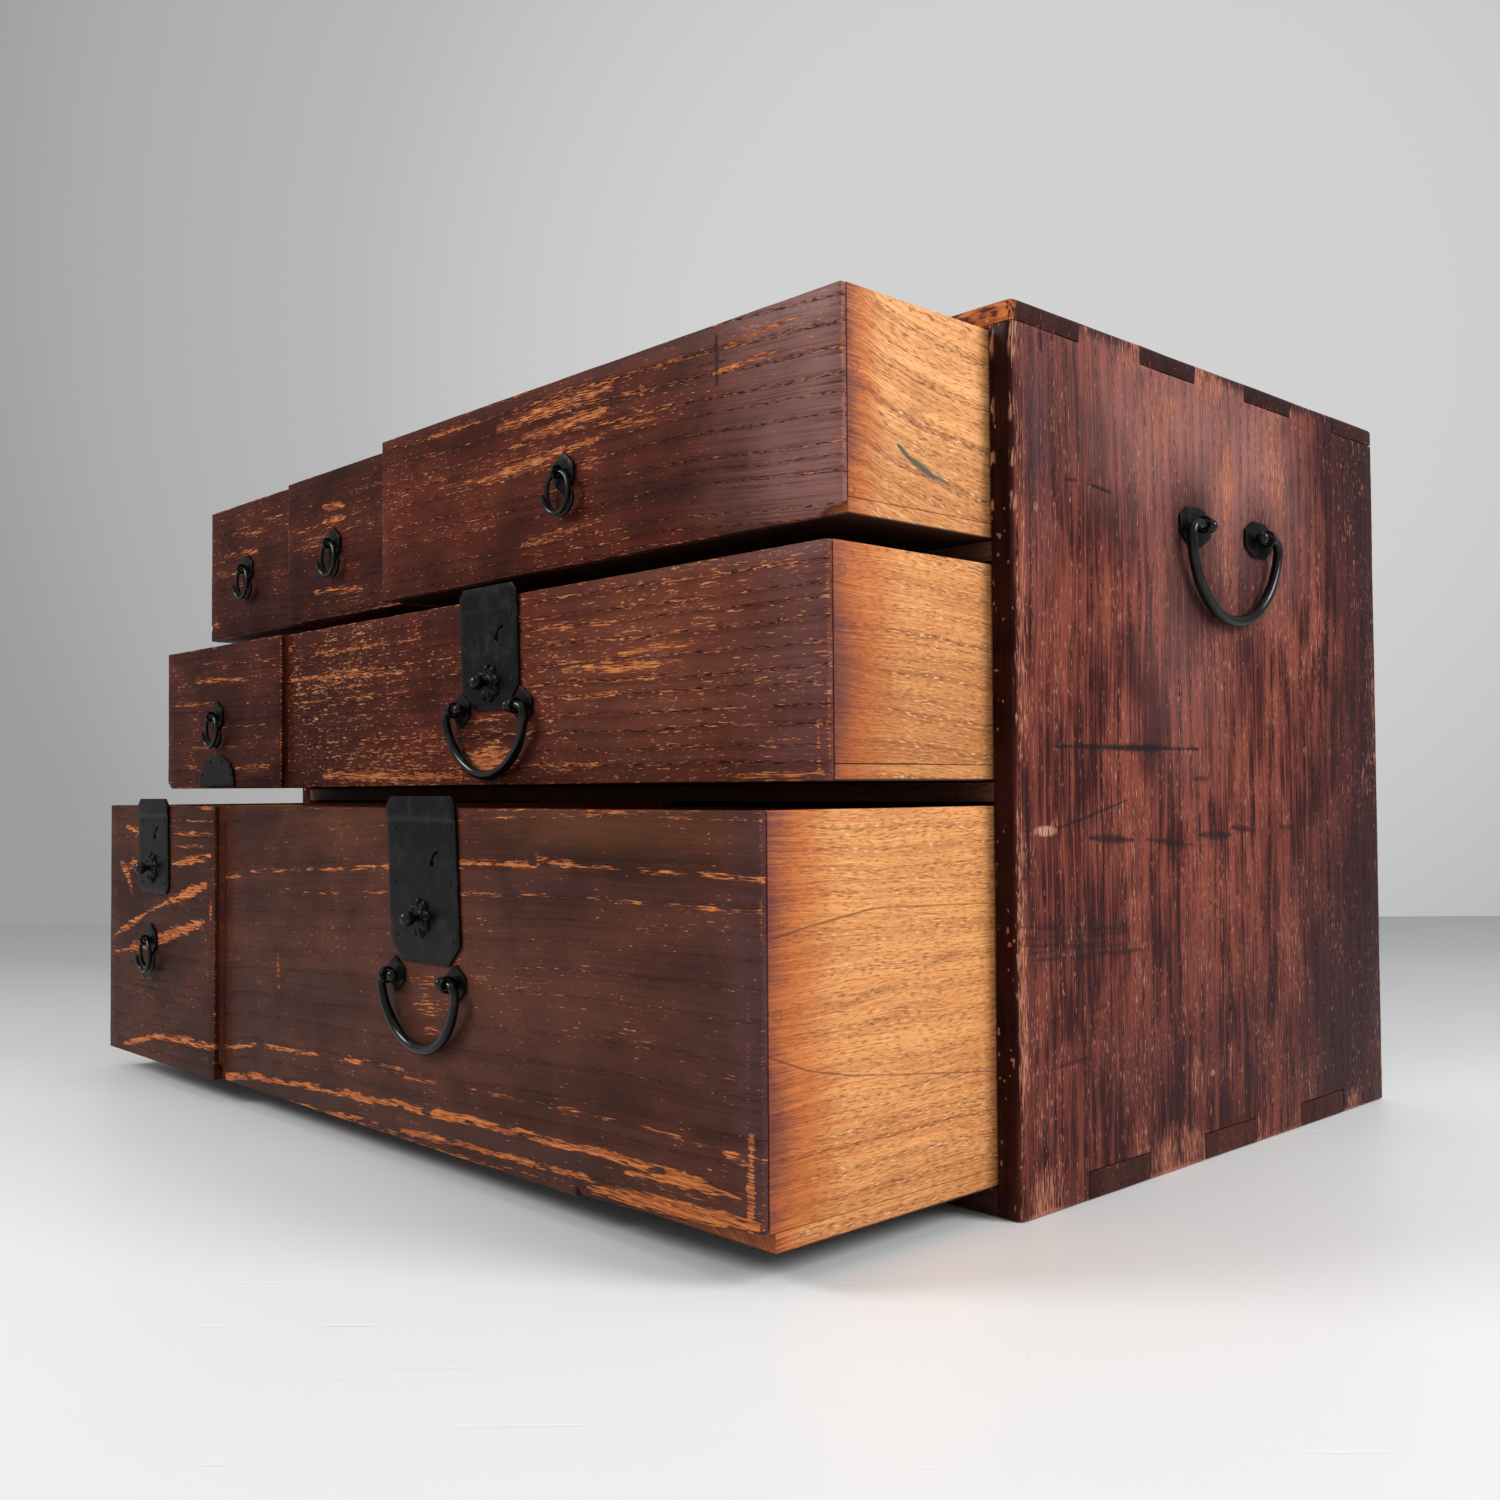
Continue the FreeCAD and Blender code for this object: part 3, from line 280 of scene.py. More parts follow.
def lacquered(name, low, high, **change):
    look = dict(lacquer, **change)
    f = Finish(bpy.data.materials.new(name))
    where = f.place()
    a = where[look["along"]]
    c = where[look["across"]]
    d = where[look["deep"]]
    seed = look["seed"]
    ends = dict(zip("XYZ", zip(low, high)))
    first, last = ends[look["along"]]

    # the grain, lifted along its length
    wander = (f.noise(a / 210, c / 130, seed) - 0.5) * 12
    level = f.levelled(a, c, look["sway"])
    grain = level + wander
    thick = d / 3 + seed * 7
    band = f.noise(grain / (look["ring"] * 2.6), thick / 8, seed + 3, 1) * 2.4
    turn = f.part(grain / look["ring"] + band + (f.noise(a / 90, grain / 9, thick) - 0.5) * 0.35)
    late = f.smooth(turn, 0.55, 0.95) * f.smooth(turn, 1.0, 0.96)
    early = f.smooth(turn, 0.3, 0.02)

    fibre = f.noise(a / 75, grain / 1.5, thick, 3, 0.6)
    dash = f.noise(a / 15, grain / 1.25, thick, 2, 0.65)
    hair = f.noise(a / 9, grain / 0.58, thick, 1, 0.6)
    zone = f.noise(a / 150, grain / 34, seed + 11, 2)
    cloud = f.noise(a / 42, c / 30, seed + 19, 3, 0.6)
    here = f.point(a, c, 0.0)

    # how near the lacquer is to being worn through
    ragged = (dash - 0.5) * 0.7 + (hair - 0.5) * 1.15 + (cloud - 0.5) * 0.4
    score = ragged + (zone - 0.5) * 0.7 + early * 0.26 * look["rows"] + (look["worn"] * 1.5 - 0.4)
    for x, y, half, tall, strength in look["patches"]:
        score = score + f.spot(here, x, y, half, tall) * (strength * 1.5)
    if look["lines"]:
        drifted = level + (f.noise(a / 34, level / 14, seed + 41) - 0.5) * 3.6
        broken = f.smooth(f.noise(a / 19, level / 5, seed + 43), 0.32, 0.52)
    for height, thickness, strength, start, end in look["lines"]:
        near = f.smooth(f.size(drifted - height), thickness, thickness * 0.35)
        if start > first + 20:
            near = near * f.smooth(a, start - 12, start + 12)
        if end < last - 20:
            near = near * f.smooth(a, end + 12, end - 12)
        score = score + near * broken * (strength * 1.5)
    wobble = (cloud + dash - 1.0) * 1.7
    streaks = f.strokes(here, look["streaks"], wobble)
    if streaks:
        score = score + streaks * 1.45

    # wear at the arrises of the board
    gaps = {axis: f.least(*[f.size(where[axis] - end) for end in ends[axis]]) for axis in "XYZ"}
    x, y, z = gaps.values()
    border = f.most(f.least(x, y), f.least(f.most(x, y), z))
    rub = f.smooth(border + (cloud - 0.5) * 5 + (dash - 0.5) * 4, 2.4, 0.2)
    score = score + rub * (look["edge"] * 1.4)
    thin = f.smooth(score, -0.1, 0.05)
    bare = f.smooth(score, 0.04, 0.16)

    tone = zone * 0.4 + cloud * 0.45 + fibre * look["fibres"] + (0.125 - look["fibres"] / 2)
    if look["bands"]:
        tone = tone + (f.noise(grain / 6, a / 60, seed + 23, 3, 0.7) - 0.5) * look["bands"]
    colour = f.mix(f.smooth(tone, 0.4, 0.7), look["dark"], look["red"])
    for x, y, half, tall, strength, tint in look["tints"]:
        share = f.spot(here, x, y, half, tall, 0.0)
        share = share * f.smooth(cloud * 0.6 + fibre * 0.5, 0.28, 0.6, strength * 0.6, strength)
        colour = f.mix(share, colour, tint)
    deepest = tuple(v * 0.4 for v in look["dark"])
    colour = f.mix(late * look["rows"] * 0.35, colour, deepest)
    # painted sheen: the board's end greyed towards a pale tint where the lacquer's gloss would show
    if look["veil"]:
        start, end, strength, tint = look["veil"]
        sheenShare = f.smooth(a + (cloud - 0.5) * 40, start, end)
        sheenShare = sheenShare * f.smooth(fibre * 0.7 + cloud * 0.3, 0.2, 0.6)
        colour = f.mix(sheenShare * strength, colour, tint)
    colour = f.mix(thin * 0.85, colour, f.mix(f.smooth(hair, 0.35, 0.7), look["red"], look["thin"]))
    wood = f.mix(f.smooth(hair * 0.6 + fibre * 0.5, 0.42, 0.72), look["thin"], look["bare"])
    colour = f.mix(bare, colour, wood)
    pore = f.smooth(f.noise(a / 5.0, grain / 0.66, thick + 2, 1), 0.5, 0.58) * (early * 0.98 + 0.05)
    colour = f.mix(pore * look["rows"], colour, deepest)
    crumbs = f.noise(a / 4.2, grain / 0.7, thick + 5, 1)
    crowd = f.smooth(score, -0.34, 0.0)
    dust = f.smooth(crumbs + crowd * 0.11 + (cloud - 0.5) * 0.3 + look["flecks"] * 0.025, 0.78, 0.82)
    colour = f.mix(dust * 0.85, colour, f.mix(f.smooth(dash, 0.4, 0.6), look["thin"], look["crumb"]))
    chips = f.highest(f.spot(here, *chip, 0.75) for chip in look["chips"])
    if chips:
        skin = f.smooth(gaps[look["deep"]], 3.5, 1.5)
        colour = f.mix(chips * skin * f.smooth(hair * 0.6 + cloud * 0.5, 0.52, 0.6), colour, look["crumb"])
    marks = f.strokes(here, look["marks"], wobble)
    if marks:
        colour = f.mix(marks * f.smooth(dash, 0.3, 0.55, 0.6, 1.0), colour, look["scratch"])
    if look["inner"] is not None:
        raw = f.smooth(d, look["inner"] - 0.8, look["inner"] - 0.5)
        colour = f.mix(raw, colour, f.mix(fibre, look["rawDark"], look["rawPale"]))

    dull = f.noise(a / 60, c / 26, seed + 31, 3, 0.6)
    rough = dull * 0.22 + thin * 0.18 + pore * 0.2 + (look["rough"] - 0.11)
    height = fibre * 0.22 + dash * 0.15 - late * 0.12 - thin * 0.35 - bare * 0.25 - pore * 0.6
    if marks:
        height = height - marks * 1.2
    return f.surface({"Specular IOR Level": look["gloss"], "IOR": 1.45},
                     Base_Color=colour, Roughness=rough, Normal=f.bump(height, 0.0003, 0.85))


# pale wood of the drawers, dark wood inside the case

plainWood = {
    "seed": 0.0,
    "along": "Y",
    "across": "Z",
    "deep": "X",
    "light": (0.76, 0.34, 0.115),
    "tan": (0.55, 0.205, 0.065),
    "line": (0.22, 0.068, 0.025),
    "pale": (0.9, 0.55, 0.3),
    "stain": (0.12, 0.031, 0.034),
    "warm": (0.62, 0.17, 0.045),
    "mark": (0.1, 0.038, 0.022),
    "smear": (0.105, 0.09, 0.062),
    "ring": 11.0,
    "sway": (),         # (along, lift) of the grain, mm
    "lines": (),        # (level, thickness, strength) of dark growth rings
    "browner": None,    # (from, to, strength) browner towards a height, mm across
    "marks": (),        # (along, across, along, across, thickness, strength) of dark lines
    "smears": (),       # dark grey smears, as marks
    "pegs": (),         # (along, across) of wooden pegs
    "front": None,      # where the stained end is, mm along
    "reach": 24.0,      # how far the stain runs back
    "under": None,      # (height, colour) of painted shade on the lower face
    "slant": 0.0,       # how far the grain also turns with depth
    "rough": 0.56,
}


def plainWooden(name, **change):
    look = dict(plainWood, **change)
    f = Finish(bpy.data.materials.new(name))
    where = f.place()
    a = where[look["along"]]
    c = where[look["across"]]
    d = where[look["deep"]]
    seed = look["seed"]
    here = f.point(a, c, 0.0)
    level = f.levelled(a, c, look["sway"])
    wander = (f.noise(a / 70, c / 34, d / 60 + seed, 2) - 0.5) * 9
    grain = level + wander + d * look["slant"]
    thick = d / 4 + seed
    turn = f.part(grain / look["ring"] + f.noise(grain / 27, 0.0, seed + 5, 1) * 1.8)
    late = f.smooth(turn, 0.45, 0.93) * f.smooth(turn, 1.0, 0.96)
    fibre = f.noise(a / 42, grain / 0.8, thick, 3, 0.65)
    broad = f.noise(a / 120, grain / 11, thick / 4, 2)
    ticks = f.noise(a / 4.2, grain / 0.75, thick, 1)
    tick = f.smooth(ticks, 0.58, 0.67)
    spark = f.smooth(ticks, 0.4, 0.31)
    cloud = f.noise(a / 45, c / 40, seed + 9, 3, 0.6)
    colour = f.mix(f.smooth(fibre * 0.75 + broad * 0.45, 0.42, 0.76), look["tan"], look["light"])
    if look["browner"]:
        start, end, strength = look["browner"]
        brown = f.smooth(c + (cloud - 0.5) * 40 + wander, start, end) * strength
        colour = f.mix(brown, colour, f.mix(fibre, look["line"], look["tan"]))
    ringed = late * f.smooth(broad + cloud * 0.5, 0.5, 0.85) * 0.5
    for height, thickness, strength in look["lines"]:
        near = f.smooth(f.size(level + wander * 0.45 - height), thickness, 0.0)
        ringed = f.most(ringed, near * strength)
    colour = f.mix(ringed * (tick * 0.5 + 0.62), colour, look["line"])
    colour = f.mix(spark * (ringed * 0.6 + 0.34), colour, look["pale"])
    colour = f.mix(tick * (ringed * 0.4 + 0.5), colour, look["line"])
    grime = f.smooth(cloud, 0.55, 0.75)
    colour = f.mix(grime * 0.22, colour, look["line"])
    if look["front"] is not None:
        back = f.size(a - look["front"]) + (cloud - 0.5) * 30 + (fibre - 0.5) * 22
        warm = f.smooth(back, look["reach"] * 2.6, look["reach"] * 0.4)
        colour = f.mix(warm * 0.75, colour, f.mix(fibre, look["line"], look["light"]), "MULTIPLY")
        colour = f.mix(warm * 0.35, colour, look["warm"])
        near = f.smooth(back, look["reach"], -6)
        colour = f.mix(near * 0.9, colour, look["stain"])
    wobble = (cloud + fibre - 1.0) * 0.7
    for kind, sway in (("mark", wobble), ("smear", wobble * 0.5)):
        strokes = f.strokes(here, look[kind + "s"], sway)
        if strokes:
            colour = f.mix(strokes, colour, look[kind])
    for x, y in look["pegs"]:
        rim = f.spot(here, x, y, 2.3, 2.3, 0.95) - f.spot(here, x, y, 1.5, 1.5, 0.95)
        colour = f.mix(rim * 0.75, colour, look["line"])
    # painted shade: the lower face of a drawer's floor darkened
    if look["under"]:
        height, tint = look["under"]
        colour = f.mix(f.smooth(where["Z"], height + 1.4, height + 0.5), colour, tint)
    height = fibre * 0.5 - ringed * 0.3 - tick * 0.6
    return f.surface({"Specular IOR Level": 0.15},
                     Base_Color=colour, Roughness=fibre * 0.18 + (look["rough"] - 0.09),
                     Normal=f.bump(height, 0.00025, 0.8))


# iron

iron = {
    "black": (0.0036, 0.0032, 0.0035),
    "brown": (0.0125, 0.01, 0.0092),
    "pale": (0.036, 0.035, 0.04),
    "mottle": 9.0,      # mm, as the next two
    "grit": 1.6,
    "hammer": 4.5,
    "rough": 0.33,
    "gloss": 0.08,
}


def ironwork(name, **change):
    look = dict(iron, **change)
    f = Finish(bpy.data.materials.new(name))
    where = f.place()
    mottle = f.noise(*[at / look["mottle"] for at in where.values()], 3, 0.6)
    grit = f.noise(*[at / look["grit"] for at in where.values()], 2, 0.6)
    hammer = f.cells(*[at / look["hammer"] for at in where.values()])
    colour = f.mix(f.smooth(mottle, 0.46, 0.72), look["black"], look["brown"])
    colour = f.mix(f.smooth(grit * 0.6 + mottle * 0.4, 0.56, 0.68) * 0.35, colour, look["pale"])
    rough = mottle * 0.26 + grit * 0.16 + (look["rough"] - 0.21)
    return f.surface({"Specular IOR Level": look["gloss"], "Metallic": 0.0},
                     Base_Color=colour, Roughness=rough,
                     Normal=f.bump(hammer * 0.3 + grit * 0.3, 0.00016, 0.5))


# modelling; sizes in mm


def boxOf(node):
    return [[v / mm for v in corner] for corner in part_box(node)]


def camel(words):
    first, *others = words.split("_")
    return first + "".join(word.capitalize() for word in others)


def toObjectMode():
    if bpy.context.object and bpy.context.object.mode != "OBJECT":
        bpy.ops.object.mode_set(mode="OBJECT")


def clearSelection():
    toObjectMode()
    bpy.ops.object.select_all(action="DESELECT")


def use(piece):
    clearSelection()
    piece.select_set(True)
    bpy.context.view_layer.objects.active = piece


def edit(piece, mode="FACE"):
    use(piece)
    bpy.ops.object.mode_set(mode="EDIT")
    bpy.ops.mesh.select_mode(type=mode)


def selectAll():
    bpy.ops.mesh.select_all(action="SELECT")


def picked(piece, kind, test):
    bpy.ops.mesh.select_all(action="DESELECT")
    mesh = bmesh.from_edit_mesh(piece.data)
    for item in getattr(mesh, kind):
        item.select_set(bool(test(item)))
    mesh.select_flush_mode()
    bmesh.update_edit_mesh(piece.data)


def outward(piece):
    selectAll()
    bpy.ops.mesh.normals_make_consistent(inside=False)
    toObjectMode()
    return piece


def settled(piece, x=0.0, y=0.0, z=0.0, turn=0.0, lean=0.0):
    use(piece)
    piece.rotation_euler = (math.radians(lean), 0, turn)
    piece.location = (x * mm, y * mm, z * mm)
    bpy.ops.object.transform_apply(location=True, rotation=True, scale=True)
    return piece


def scaled(piece, size, x=0.0, y=0.0, z=0.0):
    piece.scale = [v * mm for v in size]
    return settled(piece, x, y, z)


def addBox(name, low, high):
    clearSelection()
    bpy.ops.mesh.primitive_cube_add(size=1)
    piece = bpy.context.object
    piece.name = name
    return scaled(piece, [q - p for p, q in zip(low, high)], *[(p + q) / 2 for p, q in zip(low, high)])


def addBall(segments, rings, size, x=0.0, y=0.0, z=0.0):
    clearSelection()
    bpy.ops.mesh.primitive_uv_sphere_add(segments=segments, ring_count=rings, radius=1)
    return scaled(bpy.context.object, size, x, y, z)


def addRod(sides, radius, length, x, y, z):
    # a rod along Y
    clearSelection()
    bpy.ops.mesh.primitive_cylinder_add(vertices=sides, radius=radius * mm, depth=length * mm)
    return settled(bpy.context.object, x, y, z, 0.0, 90)


def prism(name, points, near, far):
    # a straight piece from near to far along Y, its outline given in X and Z
    clearSelection()
    bpy.ops.mesh.primitive_circle_add(vertices=len(points), radius=0.01, fill_type="NGON")
    piece = bpy.context.object
    piece.name = name
    for vertex, (x, z) in zip(piece.data.vertices, points):
        vertex.co = (x * mm, near * mm, z * mm)
    edit(piece)
    selectAll()
    bpy.ops.mesh.extrude_region_move(TRANSFORM_OT_translate={"value": (0, (far - near) * mm, 0)})
    return outward(piece)


def applied(piece, kind, **settings):
    use(piece)
    modifier = piece.modifiers.new(kind.lower(), kind)
    for key, value in settings.items():
        setattr(modifier, key, value)
    bpy.ops.object.modifier_apply(modifier=modifier.name)
    return piece


def cutAway(piece, *tools):
    for tool in tools:
        applied(piece, "BOOLEAN", operation="DIFFERENCE", object=tool, solver="EXACT")
        bpy.data.objects.remove(tool)
    return piece


def joined(name, *pieces):
    use(pieces[0])
    for piece in pieces:
        piece.select_set(True)
    bpy.ops.object.join()
    bpy.context.object.name = name
    return bpy.context.object


def copied(piece, name):
    clearSelection()
    twin = piece.copy()
    twin.data = piece.data.copy()
    twin.name = name
    bpy.context.scene.collection.objects.link(twin)
    return twin


def smoothed(piece, angle=40):
    use(piece)
    bpy.ops.object.shade_smooth_by_angle(angle=math.radians(angle))
    return piece


def limits(piece):
    return [[end(v.co[i] for v in piece.data.vertices) for i in range(3)] for end in (min, max)]


def gridded(piece, step, axes="XYZ"):
    low, high = limits(piece)
    edit(piece)
    for i, axis in enumerate("XYZ"):
        count = int((high[i] - low[i]) / (step * mm)) if axis in axes else 0
        normal = [float(k == i) for k in range(3)]
        for cut in range(1, count + 1):
            level = low[i] + (high[i] - low[i]) * cut / (count + 1)
            selectAll()
            bpy.ops.mesh.bisect(plane_co=[level * v for v in normal], plane_no=normal)
    toObjectMode()
    return piece


def softened(piece, width, angle=30):
    return applied(piece, "BEVEL", width=width * mm, segments=2, limit_method="ANGLE",
                   angle_limit=math.radians(angle), use_clamp_overlap=False)


ripple = bpy.data.textures.new("ripple", type="CLOUDS")
ripple.noise_scale = 0.03
ripple.noise_depth = 2


def rippled(piece, depth, direction="NORMAL"):
    return applied(piece, "DISPLACE", texture=ripple, texture_coords="LOCAL", strength=depth * mm,
                   mid_level=1.0, direction=direction)


# arris, depth of the dips, grid
wear = {
    "case": (0.6, 0.45, 16),
    "inside": (0.5, 0.35, 20),
    "upright": (0.5, 0.3, 30),
    "front": (0.8, 0.55, 12),
    "wall": (0.3, 0.3, 24),
    "floor": (0.25, 0.3, 30),
}


def worn(piece, kind):
    # rounded arrises and shallow dips, never past the board's own faces
    arris, dip, step = wear[kind]
    low, high = limits(piece)
    rippled(gridded(softened(piece, arris, 35), step), dip)
    for vertex in piece.data.vertices:
        vertex.co = [min(max(v, p), q) for v, p, q in zip(vertex.co, low, high)]
    return smoothed(piece)


def fitted(piece, body, slot, material, *replaced):
    piece.data.materials.clear()
    piece.data.materials.append(material)
    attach(piece, body)
    if replaced:
        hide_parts(*replaced)
    return piece


# the case

case = {
    "half": 335.0,
    "front": -178.5,
    "back": 178.5,
    "height": 400.0,
    "side": 13.0,
    "top": 10.0,
    "bottom": 12.5,
    "fingers": 7,
    "cornerRound": 4.0,
    "rimRound": 2.5,
    "past": 9.0,        # a cutter's reach past a face
}


def caseEnvelope():
    half = case["half"]
    shell = addBox("envelope", (-half, case["front"], 0), (half, case["back"], case["height"]))
    front = case["front"] * mm + 1e-6
    rim = case["height"] * mm - 1e-6
    for size, test in ((case["cornerRound"], lambda p, q: max(p.y, q.y) < front and abs(p.z - q.z) > 0.1),
                       (case["rimRound"], lambda p, q: min(p.z, q.z) > rim)):
        edit(shell, "EDGE")
        picked(shell, "edges", lambda edge: test(edge.verts[0].co, edge.verts[1].co))
        bpy.ops.mesh.bevel(offset=size * mm, segments=5, affect="EDGES")
        toObjectMode()
    return shell


def caseBoard(name, low, high, odd, levels, envelope):
    # a board without the fingers of its neighbours, between the levels given
    board = addBox(name, low, high)
    segment = (case["back"] - case["front"]) / case["fingers"]
    for start, end in levels:
        for index in range(1 if odd(start) else 0, case["fingers"], 2):
            y = case["front"] + index * segment
            for side in (-1, 1):
                edges = sorted((side * (case["half"] + case["past"]), side * (case["half"] - case["side"])))
                cutAway(board, addBox("notch", (edges[0], y, start), (edges[1], y + segment, end)))
    applied(board, "BOOLEAN", operation="INTERSECT", object=envelope, solver="EXACT")
    return worn(board, "case")


def makeCase():
    half, front, back, height = case["half"], case["front"], case["back"], case["height"]
    inner, sill, head, past = half - case["side"], case["bottom"], height - case["top"], case["past"]
    envelope = caseEnvelope()
    upper, lower = (head, height + past), (-past, sill)

    def low(z):
        return z < height / 2

    boards = {
        name: caseBoard(name, (left, front, bottom), (right, back, top), odd, levels, envelope)
        for name, left, right, bottom, top, odd, levels in (
            ("topBoard", -half, half, head, height, lambda z: True, ((head - past, height + past),)),
            ("bottomBoard", -half, half, 0, sill, lambda z: False, ((-past, sill + past),)),
            ("leftSide", -half, -inner, 0, height, low, (upper, lower)),
            ("rightSide", inner, half, 0, height, low, (upper, lower)))
    }
    bpy.data.objects.remove(envelope)
    return boards


caseParts = makeCase()
print("case boards:", len(caseParts))

sideColours = dict(
    along="Z", across="Y", deep="X", ring=9.0, rows=0.65, bands=0.75, fibres=0.75,
    dark=(0.036, 0.009, 0.0095), red=(0.215, 0.053, 0.036), thin=(0.33, 0.115, 0.076),
    bare=(0.48, 0.2, 0.12), crumb=(0.46, 0.23, 0.15))


# painted sheen: the pale pinkish glow on the upper middle of the case sides
sheenPink = (0.33, 0.16, 0.146)
# painted shade: the plum darkening of the sides towards the bottom and the back; the same colour is the
# dark finger joints along the top ends
plumShadeAndJoints = (0.028, 0.011, 0.013)
nose = (0.006, 0.0014, 0.001)
rightLook = lacquered(
    "rightSideLacquer", *boxOf("case_right_side"), seed=4.2, worn=0.03, edge=0.2, rough=0.36, flecks=3.0,
    **sideColours,
    patches=((352, -2, 44, 14, 0.17), (345, 8, 26, 9, 0.16), (362, 60, 34, 13, 0.15),
        (340, 66, 30, 10, 0.1), (262, 100, 24, 12, 0.12), (300, 8, 20, 17, 0.12),
        (255, -10, 24, 30, 0.1), (372, -60, 26, 20, 0.1), (392, -14, 10, 18, 0.22),
        (393, -82, 10, 16, 0.16), (10, -54, 14, 26, 0.22), (8, -160, 16, 16, 0.22), (2, 137, 10, 14, 0.18),
        (55, 0, 20, 3, 0.16), (44, -34, 14, 7, 0.16), (6, 28, 10, 4, 0.22), (340, -172, 60, 4, 0.2),
        (250, -173, 60, 4, 0.16), (110, -175, 90, 3, 0.16), (200, -178.8, 600, 1.3, -0.35)),
    # pink tints: painted sheen on the upper middle of the side
    tints=((365, -40, 70, 130, 0.55, sheenPink), (340, 40, 80, 70, 0.45, sheenPink), (260, -40, 90, 60, 0.25, sheenPink),
        # plum tints: painted shade where the side darkens low and towards the back; darker round the handle
        # plates; the one along the top end is the dark finger joint
        (345, -160, 90, 16, 0.55, (0.11, 0.055, 0.065)), (385, 170, 110, 90, 0.95, plumShadeAndJoints),
        (210, 182, 400, 80, 1.0, plumShadeAndJoints), (80, 130, 130, 100, 0.85, plumShadeAndJoints), (100, -172, 160, 14, 0.5, plumShadeAndJoints),
        (318, -32, 34, 30, 0.95, plumShadeAndJoints), (317, 42, 34, 30, 0.85, plumShadeAndJoints), (280, -20, 24, 30, 0.8, plumShadeAndJoints),
        (286, 30, 20, 34, 0.6, plumShadeAndJoints), (345, -140, 60, 22, 0.5, plumShadeAndJoints), (119, -140, 16, 50, 0.45, plumShadeAndJoints),
        (60, 30, 60, 30, 0.4, plumShadeAndJoints), (40, -60, 80, 120, 0.55, plumShadeAndJoints), (40, 120, 60, 70, 0.7, plumShadeAndJoints),
        (399, 20, 7, 400, 1.0, plumShadeAndJoints), (200, -178.6, 600, 1.6, 0.95, nose)),
    marks=((204.5, -149, 204.8, -27, 2.4, 1.0), (325, -139, 326, -131, 1.6, 0.9),
        (325.5, -122, 324, -103, 1.3, 0.9), (163, -124, 161, -88, 3.0, 0.9),
        (161, -76, 157, -34, 2.8, 0.8), (162, -28, 161, 3, 3.0, 0.9), (165, 5, 163, 25, 2.6, 0.8),
        (190, -32, 190, -17, 2.6, 0.6), (164, 56, 164, 73, 2.2, 0.5), (168, -148, 180, -92, 1.4, 0.7),
        (177, -14, 166, -14, 1.5, 0.8), (173, -27, 163, -27, 1.8, 0.8), (126, -176, 120, -96, 1.6, 0.5),
        (121, -176, 118, -96, 1.2, 0.4), (118, -176, 112, -94, 1.6, 0.5), (111, -168, 109, -76, 1.8, 0.6),
        (114, -176, 115, -110, 1.0, 0.5), (119, -100, 124, -94, 5.0, 0.6), (62, -158, 64, -128, 1.4, 0.6),
        (85, -120, 86, -112, 2.5, 0.6), (388, -158, 380, -157, 1.6, 0.9)),
    chips=((330, -177.4, 4, 1.6), (311, -177.2, 4, 1.6), (310, -162.5, 2.2, 1.4), (167, -158, 2.2, 8),
        (148, -177.4, 5, 1.4), (384, -177, 10, 1.8), (352, -177.6, 6, 1.2), (169, 66, 1.2, 1.4),
        (206, 87, 1.6, 1.8), (42, -18, 1.6, 2.2)))


leftLook = lacquered(
    "leftSideLacquer", *boxOf("case_left_side"), seed=9.7, worn=0.01, edge=0.2, rough=0.38, flecks=2.0,
    **sideColours,
    patches=((352, 10, 44, 18, 0.14), (300, -4, 22, 18, 0.12), (8, -120, 12, 30, 0.18),
        (6, 90, 10, 22, 0.16)),
    # the pink tint is painted sheen; plum tints are painted shade low and at the back, darker round the
    # handle plates, and the dark finger joint along the top end
    tints=((360, 0, 80, 120, 0.5, sheenPink), (230, 176, 240, 34, 0.8, plumShadeAndJoints), (60, 60, 110, 120, 0.7, plumShadeAndJoints),
        (318, -30, 24, 20, 0.6, plumShadeAndJoints), (317, 42, 24, 20, 0.6, plumShadeAndJoints), (399, 40, 5, 200, 0.9, plumShadeAndJoints),
        (200, -178.6, 600, 1.6, 0.95, nose)),
    marks=((150, 30, 158, 86, 1.6, 0.7), (210, -60, 214, -12, 1.4, 0.6), (96, -100, 90, -40, 1.6, 0.5)))


topLook = lacquered(
    "topLacquer", *boxOf("case_top"), seed=2.9, along="X", across="Y", deep="Z", ring=12.0,
    dark=(0.04, 0.0135, 0.0115), red=(0.115, 0.031, 0.019), worn=0.0, edge=0.08, rough=0.38,
    tints=((335, 20, 16, 420, 1.0, plumShadeAndJoints), (-335, 20, 16, 420, 1.0, plumShadeAndJoints)),
    patches=((322, -177, 16, 4, 0.4), (270, -177, 60, 3, 0.2), (60, -20, 120, 40, 0.06),
        (-180, 60, 90, 30, 0.06), (0, -170, 300, 6, 0.12)),
    marks=((-120, -40, -60, 10, 1.4, 0.6), (140, 60, 210, 52, 1.2, 0.6), (30, 110, 44, 20, 1.0, 0.5)))


insideLook = plainWooden(
    "caseWood", along="X", across="Z", deep="Y", seed=3.1, light=(0.15, 0.062, 0.036),
    tan=(0.085, 0.034, 0.022), line=(0.035, 0.015, 0.012), pale=(0.17, 0.075, 0.045), ring=9.0, rough=0.62)


underLook = lacquered(
    "underLacquer", *boxOf("case_bottom"), seed=7.7, along="X", across="Y", deep="Z", ring=12.0,
    dark=(0.03, 0.012, 0.011), red=(0.07, 0.024, 0.018), worn=-0.05, edge=0.1, rough=0.5)


for name, slot, look, node in (
        ("topBoard", "case_lacquer", topLook, "case_top"),
        ("bottomBoard", "case_wood", underLook, "case_bottom"),
        ("leftSide", "case_lacquer", leftLook, "case_left_side"),
        ("rightSide", "case_lacquer", rightLook, "case_right_side")):
    fitted(caseParts[name], "case", slot, look, node)


